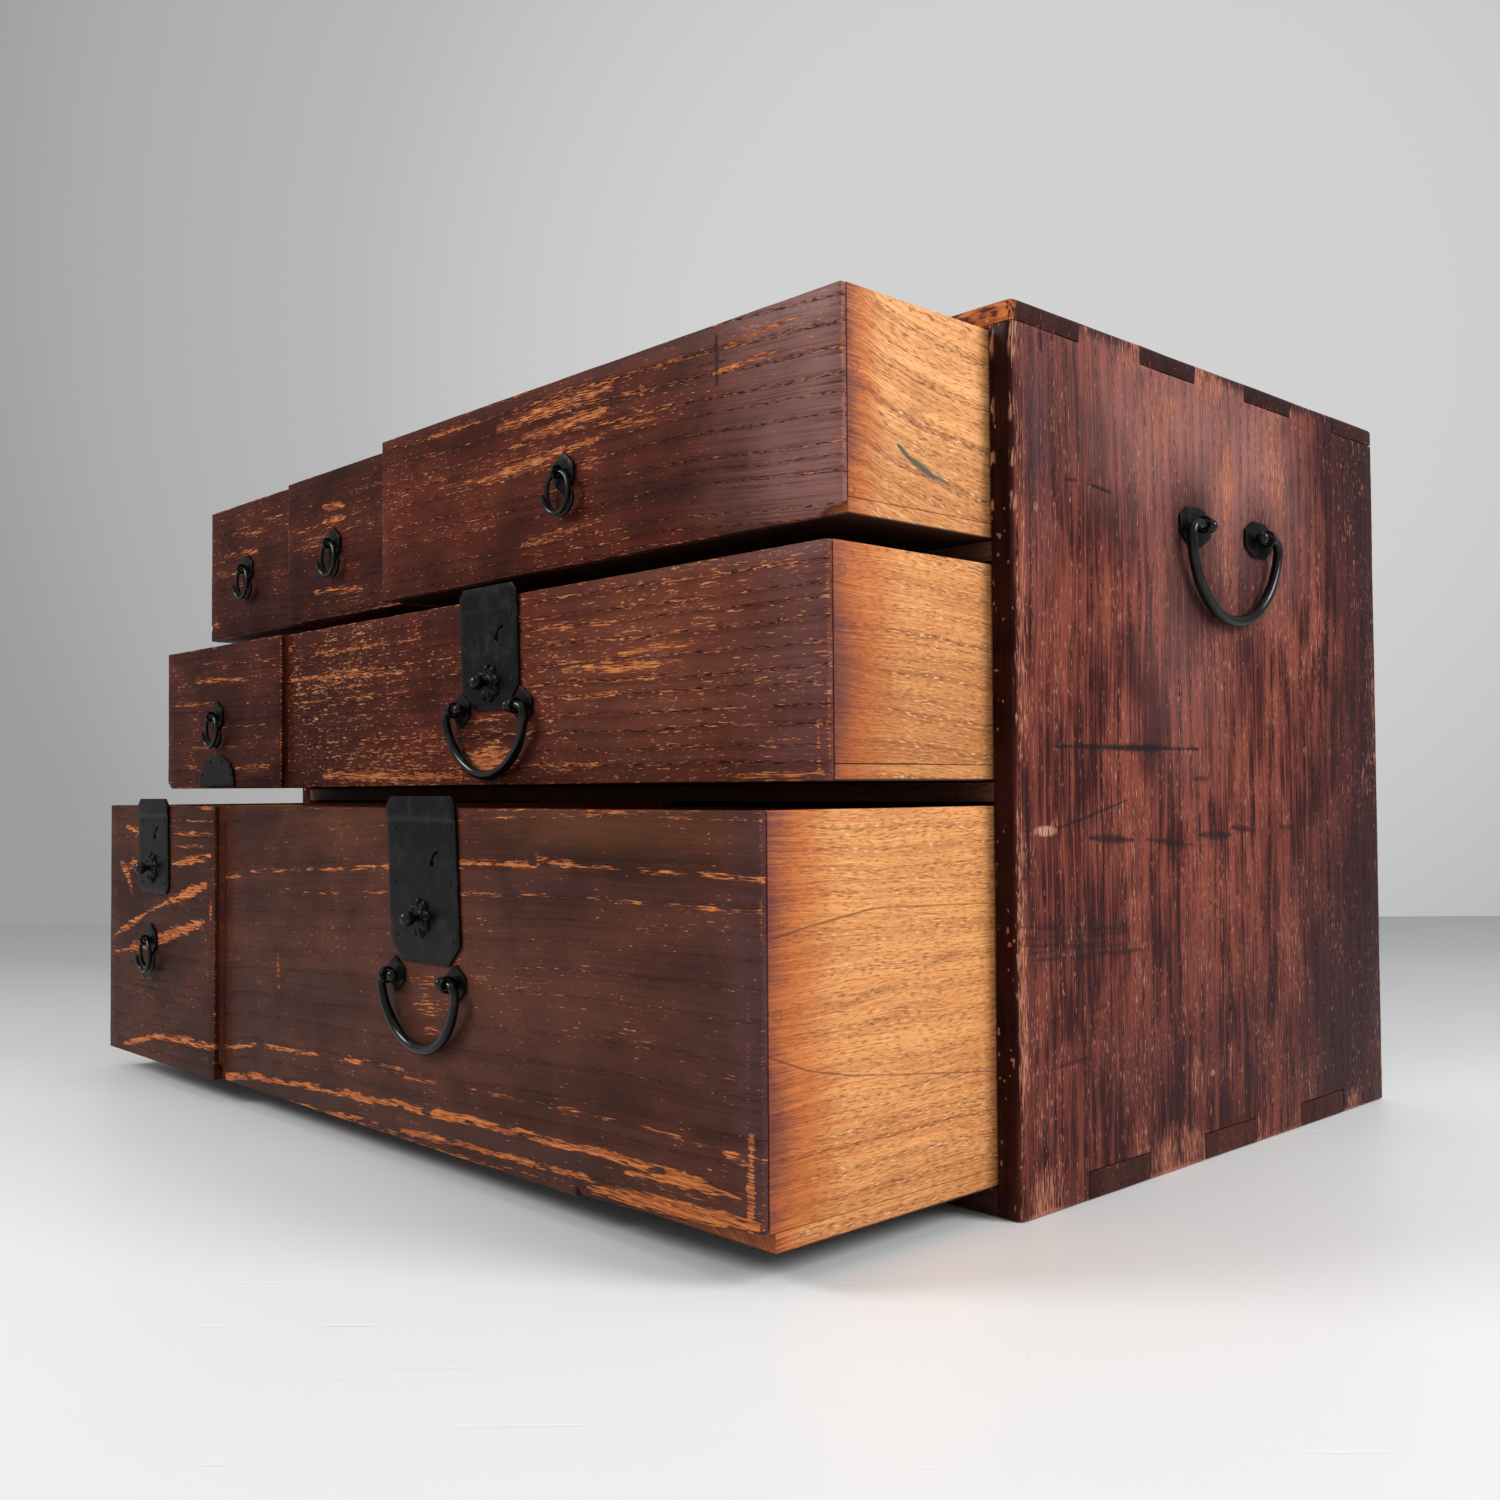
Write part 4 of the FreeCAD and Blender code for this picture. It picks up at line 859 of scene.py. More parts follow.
insides = {
    "backPanel": "case_back",
    "lowerShelf": "lower_shelf",
    "upperShelf": "upper_shelf",
}
for name, node in insides.items():
    fitted(worn(addBox(name, *boxOf(node)), "inside"), "case", "case_wood", insideLook, node)


# (middle, lower end, upper end) of each upright
uprights = ((-189.4, 294.8, 390.0), (-43.0, 294.8, 390.0), (-143.2, 188.9, 286.1), (-149.4, 12.5, 179.9))


def makeUprights():
    low, high = boxOf("drawer_dividers")
    made = [worn(addBox("upright", (x - 4, low[1], bottom), (x + 4, high[1], top)), "upright")
            for x, bottom, top in uprights]
    return fitted(joined("uprights", *made), "case", "case_wood", insideLook, "drawer_dividers")


makeUprights()
print("inside of the case done")

# drawers

small = dict(ring=6.5, worn=0.01, rough=0.38, dark=(0.024, 0.0055, 0.0042), red=(0.072, 0.0155, 0.0092))
# the tint of the painted sheen on the right end of a front
sheenPlum = (0.15, 0.06, 0.056)
drawers = {
    "top_left": {
        "front": (-321.3, -189.9, 295.4, 388.5), "pull": 76,
        "look": dict(
            small, seed=1.3,
            streaks=((-299, 355, -247, 353, 3.5, 0.24), (-284, 368, -242, 365, 3.5, 0.22),
                (-309, 342, -274, 340, 2.5, 0.16), (-318, 307, -306, 306, 4, 0.22),
                (-289, 311, -242, 309, 2, 0.14), (-235, 372, -200, 371, 2.5, 0.18))),
    },
    "top_middle": {
        "front": (-188.9, -43.5, 295.4, 388.5), "pull": 81,
        "look": dict(
            small, seed=2.1,
            streaks=((-139, 366.5, -112, 364, 4, 0.3), (-139, 357, -112, 356, 4, 0.3),
                (-151, 313.5, -90, 309.5, 4, 0.26), (-180, 344, -139, 343, 2.5, 0.16),
                (-185, 355, -150, 355, 2.5, 0.18), (-116, 327, -90, 324, 3, 0.16),
                (-139, 306, -87, 302, 2.5, 0.14), (-100, 372, -60, 370, 2.5, 0.18))),
    },
    "top_right": {
        "front": (-42.5, 321.3, 295.4, 388.5), "pull": 94,
        "look": dict(
            seed=3.4, ring=8.5, worn=-0.03, rough=0.34, rows=0.9, flecks=2.6, edge=0.18,
            sway=((-42, 8), (120, 8), (210, 7), (262, 4), (321, 0)),
            # painted sheen on the right end
            veil=(215, 330, 0.95, (0.265, 0.122, 0.108)),
            streaks=((78, 374, 172, 377, 4.2, 0.25), (100, 365, 168, 366, 3.8, 0.24),
                (60, 349, 162, 353.5, 4.0, 0.26), (176, 357, 206, 355, 2.4, 0.2),
                (100, 311, 166, 314.5, 4.6, 0.3), (92, 341, 162, 326, 2.0, 0.12),
                (150, 342, 168, 344, 4, 0.2), (246, 367, 284, 368.5, 2.2, 0.3),
                (256, 378, 300, 379.5, 1.8, 0.26), (10, 381, 60, 382, 2.6, 0.2),
                (-30, 372, 40, 370, 2.2, 0.16), (20, 352, 70, 350, 2.2, 0.14)),
            patches=((120, 362, 80, 24, 0.09), (196, 366, 70, 16, 0.08), (60, 383, 130, 6, 0.12),
                (0, 358, 60, 26, 0.05), (110, 305, 90, 8, 0.07), (240, 381, 70, 6, 0.09)),
            marks=((247, 383, 247.5, 362, 1.6, 0.9), (236, 372, 252, 371, 1.6, 0.7),
                (120, 330, 134, 327, 2.0, 0.5))),
        "wood": dict(
            seed=3.4, ring=8.0, light=(0.88, 0.43, 0.165), tan=(0.62, 0.245, 0.082), reach=10,
            sway=((-272, 15), (-258, 13.5), (-248, 9.5), (-228, 5.5), (-206, 2.2), (-182, 0)),
            lines=((372, 3.0, 0.65), (351, 1.2, 0.9), (346, 3.0, 0.35), (333.4, 3.2, 0.85),
                (324, 2.5, 0.6), (312, 3.0, 0.8), (303, 2.2, 0.6), (385, 1.6, 0.5)),
            browner=(345, 318, 0.42), pegs=((-264.6, 355.4), (-268.6, 332.7), (-267.2, 305.5)),
            smears=((-238.5, 327.7, -230, 322.2, 2.0, 1.0), (-232, 323.5, -215.8, 317.4, 2.6, 1.0),
                (-217, 318, -208.3, 316.6, 1.6, 0.9))),
    },
    "middle_left": {
        "front": (-321.3, -143.7, 189.2, 284.6), "pull": 107,
        "look": dict(
            small, seed=5.8,
            streaks=((-274, 263, -191, 259, 3.4, 0.24), (-314, 248, -227, 245, 3.0, 0.24),
                (-269, 231, -166, 229, 2.8, 0.18), (-279, 217.5, -204, 216.5, 2.8, 0.2),
                (-208, 202.5, -162, 202.5, 4.5, 0.26), (-290, 205, -272, 204, 3, 0.18),
                (-289, 276, -158, 269, 1.8, 0.14))),
    },
    "middle_right": {
        "front": (-142.7, 321.3, 189.2, 284.6), "pull": 103,
        "look": dict(
            seed=6.6, ring=8.0, worn=-0.02, rough=0.34, rows=0.9, flecks=3.8,
            tints=((215, 240, 120, 70, 0.75, (0.175, 0.055, 0.033)),
                (-100, 240, 130, 90, 0.9, (0.034, 0.008, 0.0056))),
            # painted sheen on the right end
            veil=(250, 322, 0.8, sheenPlum),
            streaks=((-105, 270, 11, 270, 3, 0.18), (-139, 256, -2, 252, 3, 0.2),
                (147, 243.5, 233, 241.7, 3.4, 0.24), (129, 265.5, 187, 263.7, 2.6, 0.22),
                (190, 248.5, 261, 250, 2.6, 0.2), (-142, 241, 18, 241.5, 2.2, 0.14),
                (-118, 227.5, -13, 230, 2.4, 0.14), (-96, 196, 56, 193.5, 4.5, 0.3),
                (122, 197.5, 176, 198.5, 4.0, 0.24), (262, 192, 318, 192.7, 2.8, 0.34),
                (316, 193, 315, 213, 1.6, 0.3), (214, 205, 228, 206, 2.4, 0.26),
                (136, 228.5, 187, 231, 2.2, 0.18), (204, 228, 250, 229, 2.0, 0.16)),
            patches=((86, 203, 24, 8, 0.34), (84, 216, 22, 10, 0.14), (-60, 262, 120, 22, 0.04),
                (0, 205, 150, 14, 0.05), (160, 250, 100, 16, 0.08), (200, 228, 70, 12, 0.05),
                (230, 276, 90, 7, 0.08))),
        "wood": dict(
            seed=6.6, light=(0.77, 0.345, 0.118), tan=(0.52, 0.195, 0.06), ring=14.0, reach=18,
            sway=((-281, 5), (-248, 4.4), (-216, 2.6), (-182, 0)),
            lines=((267, 1.6, 0.5), (246.5, 2.2, 0.8), (243, 1.2, 0.6), (230, 2.0, 0.8), (213.8, 1.8, 0.8),
                (200.5, 1.8, 0.7), (222, 1.2, 0.4), (257, 1.2, 0.35)),
            browner=(252, 226, 0.5), pegs=((-272.8, 273), (-273.3, 230.5), (-272.8, 209.8)),
            marks=((-281, 196, -220, 196.4, 0.5, 0.9),)),
    },
    "bottom_left": {
        "front": (-321.3, -149.9, 12.9, 178.4), "pull": 146,
        "look": dict(
            seed=7.2, ring=8.0, worn=-0.04, rough=0.38, rows=0.3, flecks=0.8, edge=0.2,
            dark=(0.029, 0.01, 0.0075), red=(0.072, 0.022, 0.0135),
            streaks=((-312, 90, -254, 109, 3.2, 0.46), (-254, 109, -163, 130, 4.4, 0.5),
                (-316, 78.5, -285, 82, 2.4, 0.4), (-285, 82, -166, 107.5, 6.0, 0.52),
                (-303, 140, -288, 131, 7.0, 0.42), (-290, 131, -282, 120, 4.0, 0.4),
                (-275, 141, -290, 136, 5, 0.36), (-292, 164, -271, 160.5, 2.6, 0.46),
                (-214, 160.5, -152, 161.6, 2.6, 0.36), (-214, 168.5, -153, 169.3, 1.8, 0.26),
                (-213, 152.5, -156, 154, 2.0, 0.24), (-214, 141, -156, 148, 3.6, 0.4),
                (-156, 120, -156, 109, 4.0, 0.44), (-295, 18, -240, 29.5, 3.4, 0.48),
                (-240, 29.5, -152, 33.6, 4.2, 0.46), (-170, 177, -152, 176, 3.0, 0.34),
                (-168, 24, -152, 24, 3.0, 0.24)),
            patches=((-247, 64, 36, 14, 0.16),)),
    },
    "bottom_right": {
        "front": (-148.9, 321.3, 12.9, 178.4), "pull": 140,
        "look": dict(
            seed=8.9, ring=13.0, worn=-0.03, rough=0.33, edge=0.22, rows=0.35, flecks=1.0,
            dark=(0.036, 0.013, 0.009), red=(0.096, 0.031, 0.0195),
            sway=((-149, 0), (-110, 6), (-40, 10), (45, 14), (123, 17), (187, 19), (231, 20), (321, 19)),
            lines=((134, 2.0, 0.34, -144, 320), (136, 2.4, 0.24, 96, 210), (121, 1.5, 0.24, -80, 320),
                (33, 2.2, 0.36, -149, 60), (30, 1.6, 0.24, 40, 316), (15, 3.2, 0.46, -149, 290),
                (3, 2.4, 0.4, -60, 215), (-3, 1.6, 0.22, 40, 210), (156, 1.5, 0.16, 90, 320),
                (146, 1.2, 0.14, 96, 300), (100, 1.3, 0.12, -60, 60)),
            # painted sheen on the right end
            veil=(298, 322, 0.7, (0.085, 0.04, 0.045)),
            streaks=((-77.5, 95, -77, 76, 3.4, 0.3), (314, 20, 315, 58, 3.6, 0.44),
                (313, 60, 314, 120, 1.8, 0.22), (216, 19, 318, 24, 4.5, 0.42),
                (240, 30, 316, 34, 2.4, 0.3), (300, 48, 316, 46, 3, 0.32)),
            patches=((250, 26, 72, 10, 0.12), (85, 94, 10, 5, 0.24), (84, 82, 12, 7, 0.26),
                (100, 84, 9, 6, 0.2), (90, 70, 12, 3, 0.28), (70, 86, 6, 10, 0.14),
                (247, 83, 20, 10, 0.1), (298, 78, 14, 8, 0.12), (170, 105, 20, 8, 0.08),
                (200, 60, 60, 14, 0.05)),
            tints=((230, 170, 110, 12, 0.55, (0.15, 0.052, 0.02)),
                (0, 168, 60, 12, 0.45, (0.13, 0.045, 0.02)),
                (120, 25, 230, 14, 0.55, (0.058, 0.03, 0.026)),
                (180, 143, 160, 6, 0.45, (0.045, 0.018, 0.02)),
                (-120, 60, 60, 60, 0.45, (0.052, 0.022, 0.019)),
                (130, 95, 160, 46, 0.5, (0.12, 0.042, 0.028)),
                (300, 100, 40, 60, 0.25, (0.1, 0.045, 0.04))),
            marks=((150, 150, 172, 70, 0.5, 0.35),)),
        "wood": dict(
            seed=8.9, light=(0.79, 0.355, 0.118), tan=(0.55, 0.205, 0.064), ring=13.0, reach=17,
            lines=((163, 1.4, 0.6), (150, 1.2, 0.4), (47, 1.6, 0.8), (52, 1.2, 0.6), (37, 1.4, 0.6),
                (28, 1.4, 0.6), (60, 1.0, 0.4)),
            browner=(50, 14, 0.36), pegs=((-310.3, 101.4), (-309.5, 68.8), (-311.2, 135.8)),
            marks=((-317, 129.4, -293, 133.7, 0.7, 0.8), (-293, 133.7, -256, 138.4, 0.8, 0.7),
                (-256, 138.4, -182, 136.1, 0.7, 0.5), (-315, 86.7, -293.4, 78.6, 0.6, 0.8),
                (-293.4, 78.6, -267.6, 73.3, 0.6, 0.7), (-267.6, 73.3, -182, 63.4, 0.6, 0.6),
                (-275, 101, -238, 108, 3.0, 0.2), (-262, 92, -235, 97, 2.6, 0.22),
                (-225, 112, -200, 117, 2.4, 0.22))),
    },
}

# pieces broken off a front, each an outline in X and Z
splinters = {
    "bottom_right": [((206, 5), (206, 17.2), (209, 15.2), (213, 14.4), (236, 14.8), (262, 16.4),
                      (290, 18.6), (325, 21.6), (325, 5))],
    "top_right": [((303, 290), (308, 296.2), (313, 298.6), (318, 299.0), (326, 301.5), (326, 290))],
    "middle_left": [((-326, 185), (-326, 193.2), (-319.5, 192.4), (-316.6, 190.2), (-313, 185))],
    "top_left": [((-326, 302), (-320.2, 303.6), (-319.8, 306.2), (-326, 308.4))],
}

joinery = {
    "past": 1.0,        # a cutter's reach past a face
    "lip": 3.5,         # wood left in front of a rabbet
    "groundLip": 6.0,   # the same over the floor of a lowest drawer
    "deep": 12.0,       # thickness of a front
    "wall": 8.0,
    "lowerBack": 5.0,   # the rear wall under the side walls' top
    # colour of the painted shade under a drawer's floor
    "under": (0.03, 0.011, 0.0065),
    "groundBack": 6.4,
    "groundStain": (0.07, 0.026, 0.019),
}


def makeDrawer(name, drawer):
    short = camel(name)
    left, right, bottom, top = drawer["front"]
    grounded = bottom < 20
    face = case["front"] - drawer["pull"]
    lip, wall = joinery["lip"], joinery["wall"]
    rear = face + joinery["deep"]
    past = joinery["past"]
    back = rear + past
    low, high = (left, face, bottom), (right, rear, top)
    floorLow, floorHigh = boxOf(name + "_bottom")
    (outLeft, near, foot), (outRight, far, crown) = boxOf(name + "_walls")
    inLeft, inRight = outLeft + wall, outRight - wall
    start = foot if grounded else foot - 20
    front = addBox(short + "Front", low, high)
    tools = [
        addBox("rabbet", (left - past, face + lip, start), (inLeft, back, top + past)),
        addBox("rabbet", (inRight, face + lip, start), (right + past, back, top + past)),
        addBox("rabbet", (left - past, face + (joinery["groundLip"] if grounded else lip), bottom - past),
               (right + past, back, floorHigh[2])),
    ]
    tools += [prism("splinter", points, face - 2, rear + 2) for points in splinters.get(name, ())]
    worn(cutAway(front, *tools), "front")
    material = lacquered(short + "Lacquer", low, high, inner=rear, **drawer["look"])
    fitted(front, name + "_drawer", "front_lacquer", material, name + "_front")

    boards = [
        addBox("wall", (outLeft, near, foot), (inLeft, far, crown)),
        addBox("wall", (inRight, near, foot), (outRight, far, crown)),
        addBox("wall", (inLeft, far - wall, foot), (inRight, far, crown - joinery["lowerBack"])),
    ]
    walls = joined(short + "Walls", *[worn(board, "wall") for board in boards])
    look = drawer.get("wood", dict(seed=drawer["look"]["seed"]))
    material = plainWooden(short + "Wood", front=face + lip, **look)
    fitted(walls, name + "_drawer", "drawer_wood", material, name + "_walls")

    floorLook = dict(look, under=(floorLow[2], joinery["under"]), front=face, slant=1.0, lines=())
    if grounded:
        floorLow[1] += joinery["groundBack"]
        floorLook.update(front=floorLow[1], stain=joinery["groundStain"], reach=8)
    floor = worn(addBox(short + "Floor", floorLow, floorHigh), "floor")
    material = plainWooden(short + "FloorWood", **floorLook)
    fitted(floor, name + "_drawer", "drawer_wood", material, name + "_bottom")


for name, drawer in drawers.items():
    makeDrawer(name, drawer)
    print("drawer:", name)


# ironwork

black = ironwork("blackIron")
rubbed = ironwork("rubbedIron", rough=0.19, gloss=0.25, pale=(0.024, 0.022, 0.022))
for name, node in nodes.items():
    if "lock_bolt" in name or "lock_case" in name:
        node.data.materials.clear()
        node.data.materials.append(black)


forge = {
    "plate": 1.2,
    "arris": 0.28,      # worn edge of a plate
    "beaten": 0.16,
    "raised": 0.35,     # how far a plate's middle or fold stands out
    "eyeArris": 0.4,
    "nail": (1.3, 0.75),    # radius and height of a head
    "nailOut": 1.1,     # its foot, from the wood
    "pin": (1.3, 1.1, 6.0),     # half width, thickness and length of a split pin's tail
}


def ironPlate(name, corners, *holes):
    piece = softened(cutAway(prism(name, corners, 0, -forge["plate"]), *holes), forge["arris"])
    return rippled(gridded(piece, 4.5, "XZ"), forge["beaten"], "Y")


def raised(plate, test):
    # the front of a plate stands out where the test holds
    picked(plate, "verts", test)
    bpy.ops.transform.translate(value=(0, -forge["raised"] * mm, 0))
    toObjectMode()
    return plate


def spun(axis, gap):
    selectAll()
    bpy.ops.mesh.spin(steps=28, angle=math.tau, center=(0, 0, 0), axis=axis)
    selectAll()
    bpy.ops.mesh.remove_doubles(threshold=gap)


def spunStrip(inner, outer, width, out):
    # a strip of iron bent to a ring about X, its middle as far out as said
    clearSelection()
    bpy.ops.mesh.primitive_plane_add(size=1)
    strip = scaled(bpy.context.object, (width, outer - inner, 1), 0, (outer + inner) / 2)
    edit(strip)
    spun((1, 0, 0), 0.00002)
    bpy.ops.mesh.select_all(action="DESELECT")
    bpy.ops.mesh.select_interior_faces()
    bpy.ops.mesh.delete(type="ONLY_FACE")
    return settled(softened(outward(strip), forge["eyeArris"], 50), 0, -out)


def nailHead(x, z):
    radius, height = forge["nail"]
    head = addBall(16, 8, (radius, height, radius))
    edit(head)
    selectAll()
    bpy.ops.mesh.bisect(plane_co=(0, 0, 0), plane_no=(0, 1, 0), use_fill=True, clear_outer=True)
    toObjectMode()
    return settled(head, x, -forge["nailOut"], z)


def wire(name, points, thick, radii):
    curve = bpy.data.curves.new(name, "CURVE")
    curve.dimensions = "3D"
    curve.bevel_depth = thick * mm
    curve.bevel_resolution = 4
    curve.use_fill_caps = True
    line = curve.splines.new("POLY")
    line.points.add(len(points) - 1)
    for point, place, radius in zip(line.points, points, radii):
        point.co = (*[v * mm for v in place], 1)
        point.radius = radius
    piece = bpy.data.objects.new(name, curve)
    bpy.context.scene.collection.objects.link(piece)
    use(piece)
    bpy.ops.object.convert(target="MESH")
    piece = bpy.context.object
    piece.name = name
    edit(piece)
    selectAll()
    bpy.ops.mesh.remove_doubles(threshold=0.00001)
    return smoothed(outward(piece), 50)


# pointed and eight-sided plates, split pins and their eyes

def pointedCorners(width, height, flank):
    w, h, s = width / 2, height / 2, flank / 2
    return [(0, h), (-w, s), (-w, -s), (0, -h), (w, -s), (w, s)]


def eightCorners(width, height, flank, crown):
    w, h, s, c = width / 2, height / 2, flank / 2, crown / 2
    return [(c, h), (-c, h), (-w, s), (-w, -s), (-c, -h), (c, -h), (w, -s), (w, s)]


def pinTails(board):
    # the two ends of a split pin, bent up and down behind the board
    half, thick, length = forge["pin"]
    return [softened(addBox("tail", (-half, board, low), (half, board + thick, low + length)), 0.3)
            for low in (-length, 0)]


rings = {
    "top_left": (-259, 341),
    "top_middle": (-124, 341),
    "top_right": (136.5, 341),
    "middle_left": (-236, 236.9),
    "bottom_left": (-246, 91.3),
}

pull = {
    "plate": (16.5, 21.6, 8),
    "dished": (6.0, 7.5),       # half width and half height of the raised middle
    "eye": (1.75, 3.4, 2.2),    # inner and outer radius, width
    "proud": 5.0,       # the pivot, off the wood
    "radius": 10.2,
    "wire": 1.25,
    "back": 0.25,       # the rear turn, behind the pivot
    "fore": 2.9,        # the front turn, before it
    "reach": 270,       # degrees each way from the eye
    "steps": 92,
    "lean": 7.0,        # degrees, towards the wood
}


def ringMount():
    plate = ironPlate("ringPlate", pointedCorners(*pull["plate"]))
    edit(plate)
    half, tall = pull["dished"]
    raised(plate, lambda v: v.co.y < -1.0 * mm and abs(v.co.x) < half * mm and abs(v.co.z) < tall * mm)
    neck = softened(addBox("neck", (-1.0, -2.6, -1.5), (1.0, -0.6, 1.5)), 0.5)
    eye = spunStrip(*pull["eye"], pull["proud"])
    return joined("ringMount", plate, eye, neck, *pinTails(joinery["deep"]))


def ringPull(name):
    points = []
    radii = []
    for step in range(pull["steps"] + 1):
        angle = -pull["reach"] + 2 * pull["reach"] * step / pull["steps"]
        far = min(1.0, max(0.0, (abs(angle) - 15) / 130))
        far = far * far * (3 - 2 * far)
        y = -far * pull["fore"] if angle > 0 else far * pull["back"]
        radius = pull["radius"] - (0.5 * far if angle > 0 else 0.0)
        turn = math.radians(angle)
        points.append((radius * math.sin(turn), y, radius * math.cos(turn) - pull["radius"]))
        radii.append(1.0 if abs(angle) < pull["reach"] - 6 else 0.86)
    return wire(name, points, pull["wire"], radii)


def forged(piece, body, node, material=black):
    return fitted(piece, body, "black_iron", material, node)


mount = ringMount()
for name, (x, z) in rings.items():
    short = camel(name)
    face = case["front"] - drawers[name]["pull"]
    plate = settled(smoothed(copied(mount, short + "RingMount")), x, face, z)
    forged(plate, name + "_drawer", name + "_ring_mount")
    ring = settled(ringPull(short + "Ring"), x, face - pull["proud"], z, 0.0, pull["lean"])
    forged(ring, name + "_ring", name + "_ring", rubbed)


bpy.data.objects.remove(mount)
print("ring pulls:", len(rings))

# bails and carrying handles

bail = {
    "elbow": 5.0,
    "rod": 2.6,
    "ball": 3.2,
    "eyes": 28.0,       # each eye, from the middle
    "tip": 22.5,        # each ball, from the middle
    "plate": pointedCorners(16.6, 18.4, 7),
    "board": 12,
    "proud": 5.65,      # the pivot, off the wood
    "lean": 3.5,        # degrees, towards the wood
    "eye": (0.3, 1.55, 3.0),    # inside and outside past the rod, width
}
bails = {
    "middle_right": dict(bail, loop=36.6, lift=2.6, x=86.0, z=228.2),
    "bottom_right": dict(bail, loop=34.9, lift=0.9, x=84.2, z=95.0),
}
handle = dict(bail, loop=44.6, lift=-1.4, elbow=6.0, rod=2.9, ball=3.7, eyes=32.5, tip=26.5,
              plate=eightCorners(29, 19, 9, 13), board=13, proud=5.95, lean=2.5, y=3.8, z=317.0)


def bailRod(name, size):
    loop, lift, elbow = size["loop"], size["lift"], size["elbow"]
    reach = math.sqrt((loop - elbow) ** 2 - (lift + elbow) ** 2)
    dip = math.asin((lift + elbow) / (loop - elbow))
    points = [(size["tip"], 0, 0), ((size["tip"] + reach) / 2, 0, 0)]
    for step in range(9):
        turn = math.pi / 2 - (math.pi / 2 + dip) * step / 8
        points.append((reach + elbow * math.cos(turn), 0, -elbow + elbow * math.sin(turn)))
    for step in range(1, 49):
        turn = -dip - (math.pi - 2 * dip) * step / 49
        points.append((loop * math.cos(turn), 0, lift + loop * math.sin(turn)))
    points += [(-x, y, z) for x, y, z in reversed(points[:11])]
    radii = [1.0 + 0.1 * max(0.0, -z / loop) - 0.06 * (abs(x) > reach) for x, y, z in points]
    rod = wire(name, points, size["rod"] * 0.97, radii)
    ball = size["ball"]
    tips = [addBall(24, 14, (ball * 0.92, ball, ball), side * size["tip"]) for side in (-1, 1)]
    for tip in tips:
        use(tip)
        bpy.ops.object.shade_smooth()
    return rippled(joined(name, rod, *tips), 0.25)


def bailMounts(name, size):
    inner, outer, width = size["eye"]
    eye = spunStrip(size["rod"] + inner, size["rod"] + outer, width, size["proud"])
    parts = []
    for side in (-1, 1):
        plate = ironPlate("plate", size["plate"])
        parts += [settled(part, side * size["eyes"])
                  for part in (plate, copied(eye, "eye"), *pinTails(size["board"]))]
    bpy.data.objects.remove(eye)
    return joined(name, *parts)


def hangBail(name, size, carrier, place, away, turn=0.0):
    # plates and pins on the wood, and the bail in their eyes
    holder = settled(smoothed(bailMounts(camel(name) + "Mounts", size)), *place, turn)
    forged(holder, carrier, name + "_mounts")
    pivot = [at + step * size["proud"] for at, step in zip(place, away)]
    forged(settled(bailRod(camel(name), size), *pivot, turn, size["lean"]), name, name, rubbed)


for name, size in bails.items():
    place = (size["x"], case["front"] - drawers[name]["pull"], size["z"])
    hangBail(name + "_bail", size, name + "_drawer", place, (0, -1, 0))


for side, sign in (("left", -1), ("right", 1)):
    place = (sign * case["half"], handle["y"], handle["z"])
    hangBail(side + "_handle", handle, "case", place, (sign, 0, 0), sign * math.pi / 2)


print("bails and handles done")

# locks

locks = {
    "bottom_right": dict(x=82.2, top=178.4, width=64, length=81.4, tab=5.5, lean=4.5, foot=10,
                         knob=(-1.5, -54), key=(9.3, -27), middleNails=True),
    "middle_right": dict(x=84.5, top=284.6, width=52, length=63, tab=5.8, lean=1.5, foot=12,
                         knob=(0.5, -43.6), key=(7.5, -21), middleNails=False),
    "bottom_left": dict(x=-242.4, top=178.4, width=48.6, length=61, tab=4.3, lean=1.5, foot=4.5,
                        knob=(-2, -40.4), key=(3, -20), middleNails=False),
}

lockParts = {
    "clip": 4.0,        # clipped upper corners
    "fold": (6.2, 6.6),     # the lower edge of the folded strip, under the wood's top
    "stem": 2.1,        # hole for the knob
    "keyRound": 1.9,
    "keyBend": 5.5,
    "keySlit": 0.8,     # half its width
    "keyDepth": 3.9,    # middle of the cutter, into the wood
    "bloomOut": 1.05,   # the rosette's foot, from the wood
    "nails": (6.0, 10.0, 2.6),      # in from the side, down from the wood's top, up from the corner
    # half outline of the ball and its stem: from the axis, out of the wood
    "knob": ((0.0, 12.25), (1.4, 12.0), (2.6, 11.3), (3.5, 10.15), (3.85, 8.7), (3.75, 7.3), (3.3, 6.3),
             (2.7, 5.6), (2.1, 5.1), (1.8, 4.4), (1.8, 0.0), (1.8, -12.3), (3.4, -12.35), (3.4, -13.5),
             (0.0, -13.5)),
}

rosette = {
    "petals": 8,
    "turn": 0.2,
    "radius": 7.1,
    "petal": (3.1, 2.0, 2.7),
    "discs": ((6.6, -0.1, 1.5), (3.6, -0.3, 1.9)),      # radius, rear, thickness
    "grain": 0.38,
}


def keyTools(x, z):
    # the keyhole: a round end and a slit that turns up and right from it
    bend, slit = lockParts["keyBend"], lockParts["keySlit"]
    end = addRod(24, lockParts["keyRound"], 8, x, 0, z)
    strip = addBox("slit", (x - slit, -4, z - 0.5), (x + slit, 4, z + 0.2))
    edit(strip)
    picked(strip, "faces", lambda face: face.normal.z > 0.9)
    bpy.ops.mesh.spin(steps=8, angle=math.pi / 2, center=((x + bend) * mm, 0, z * mm), axis=(0, -1, 0))
    return end, outward(strip)


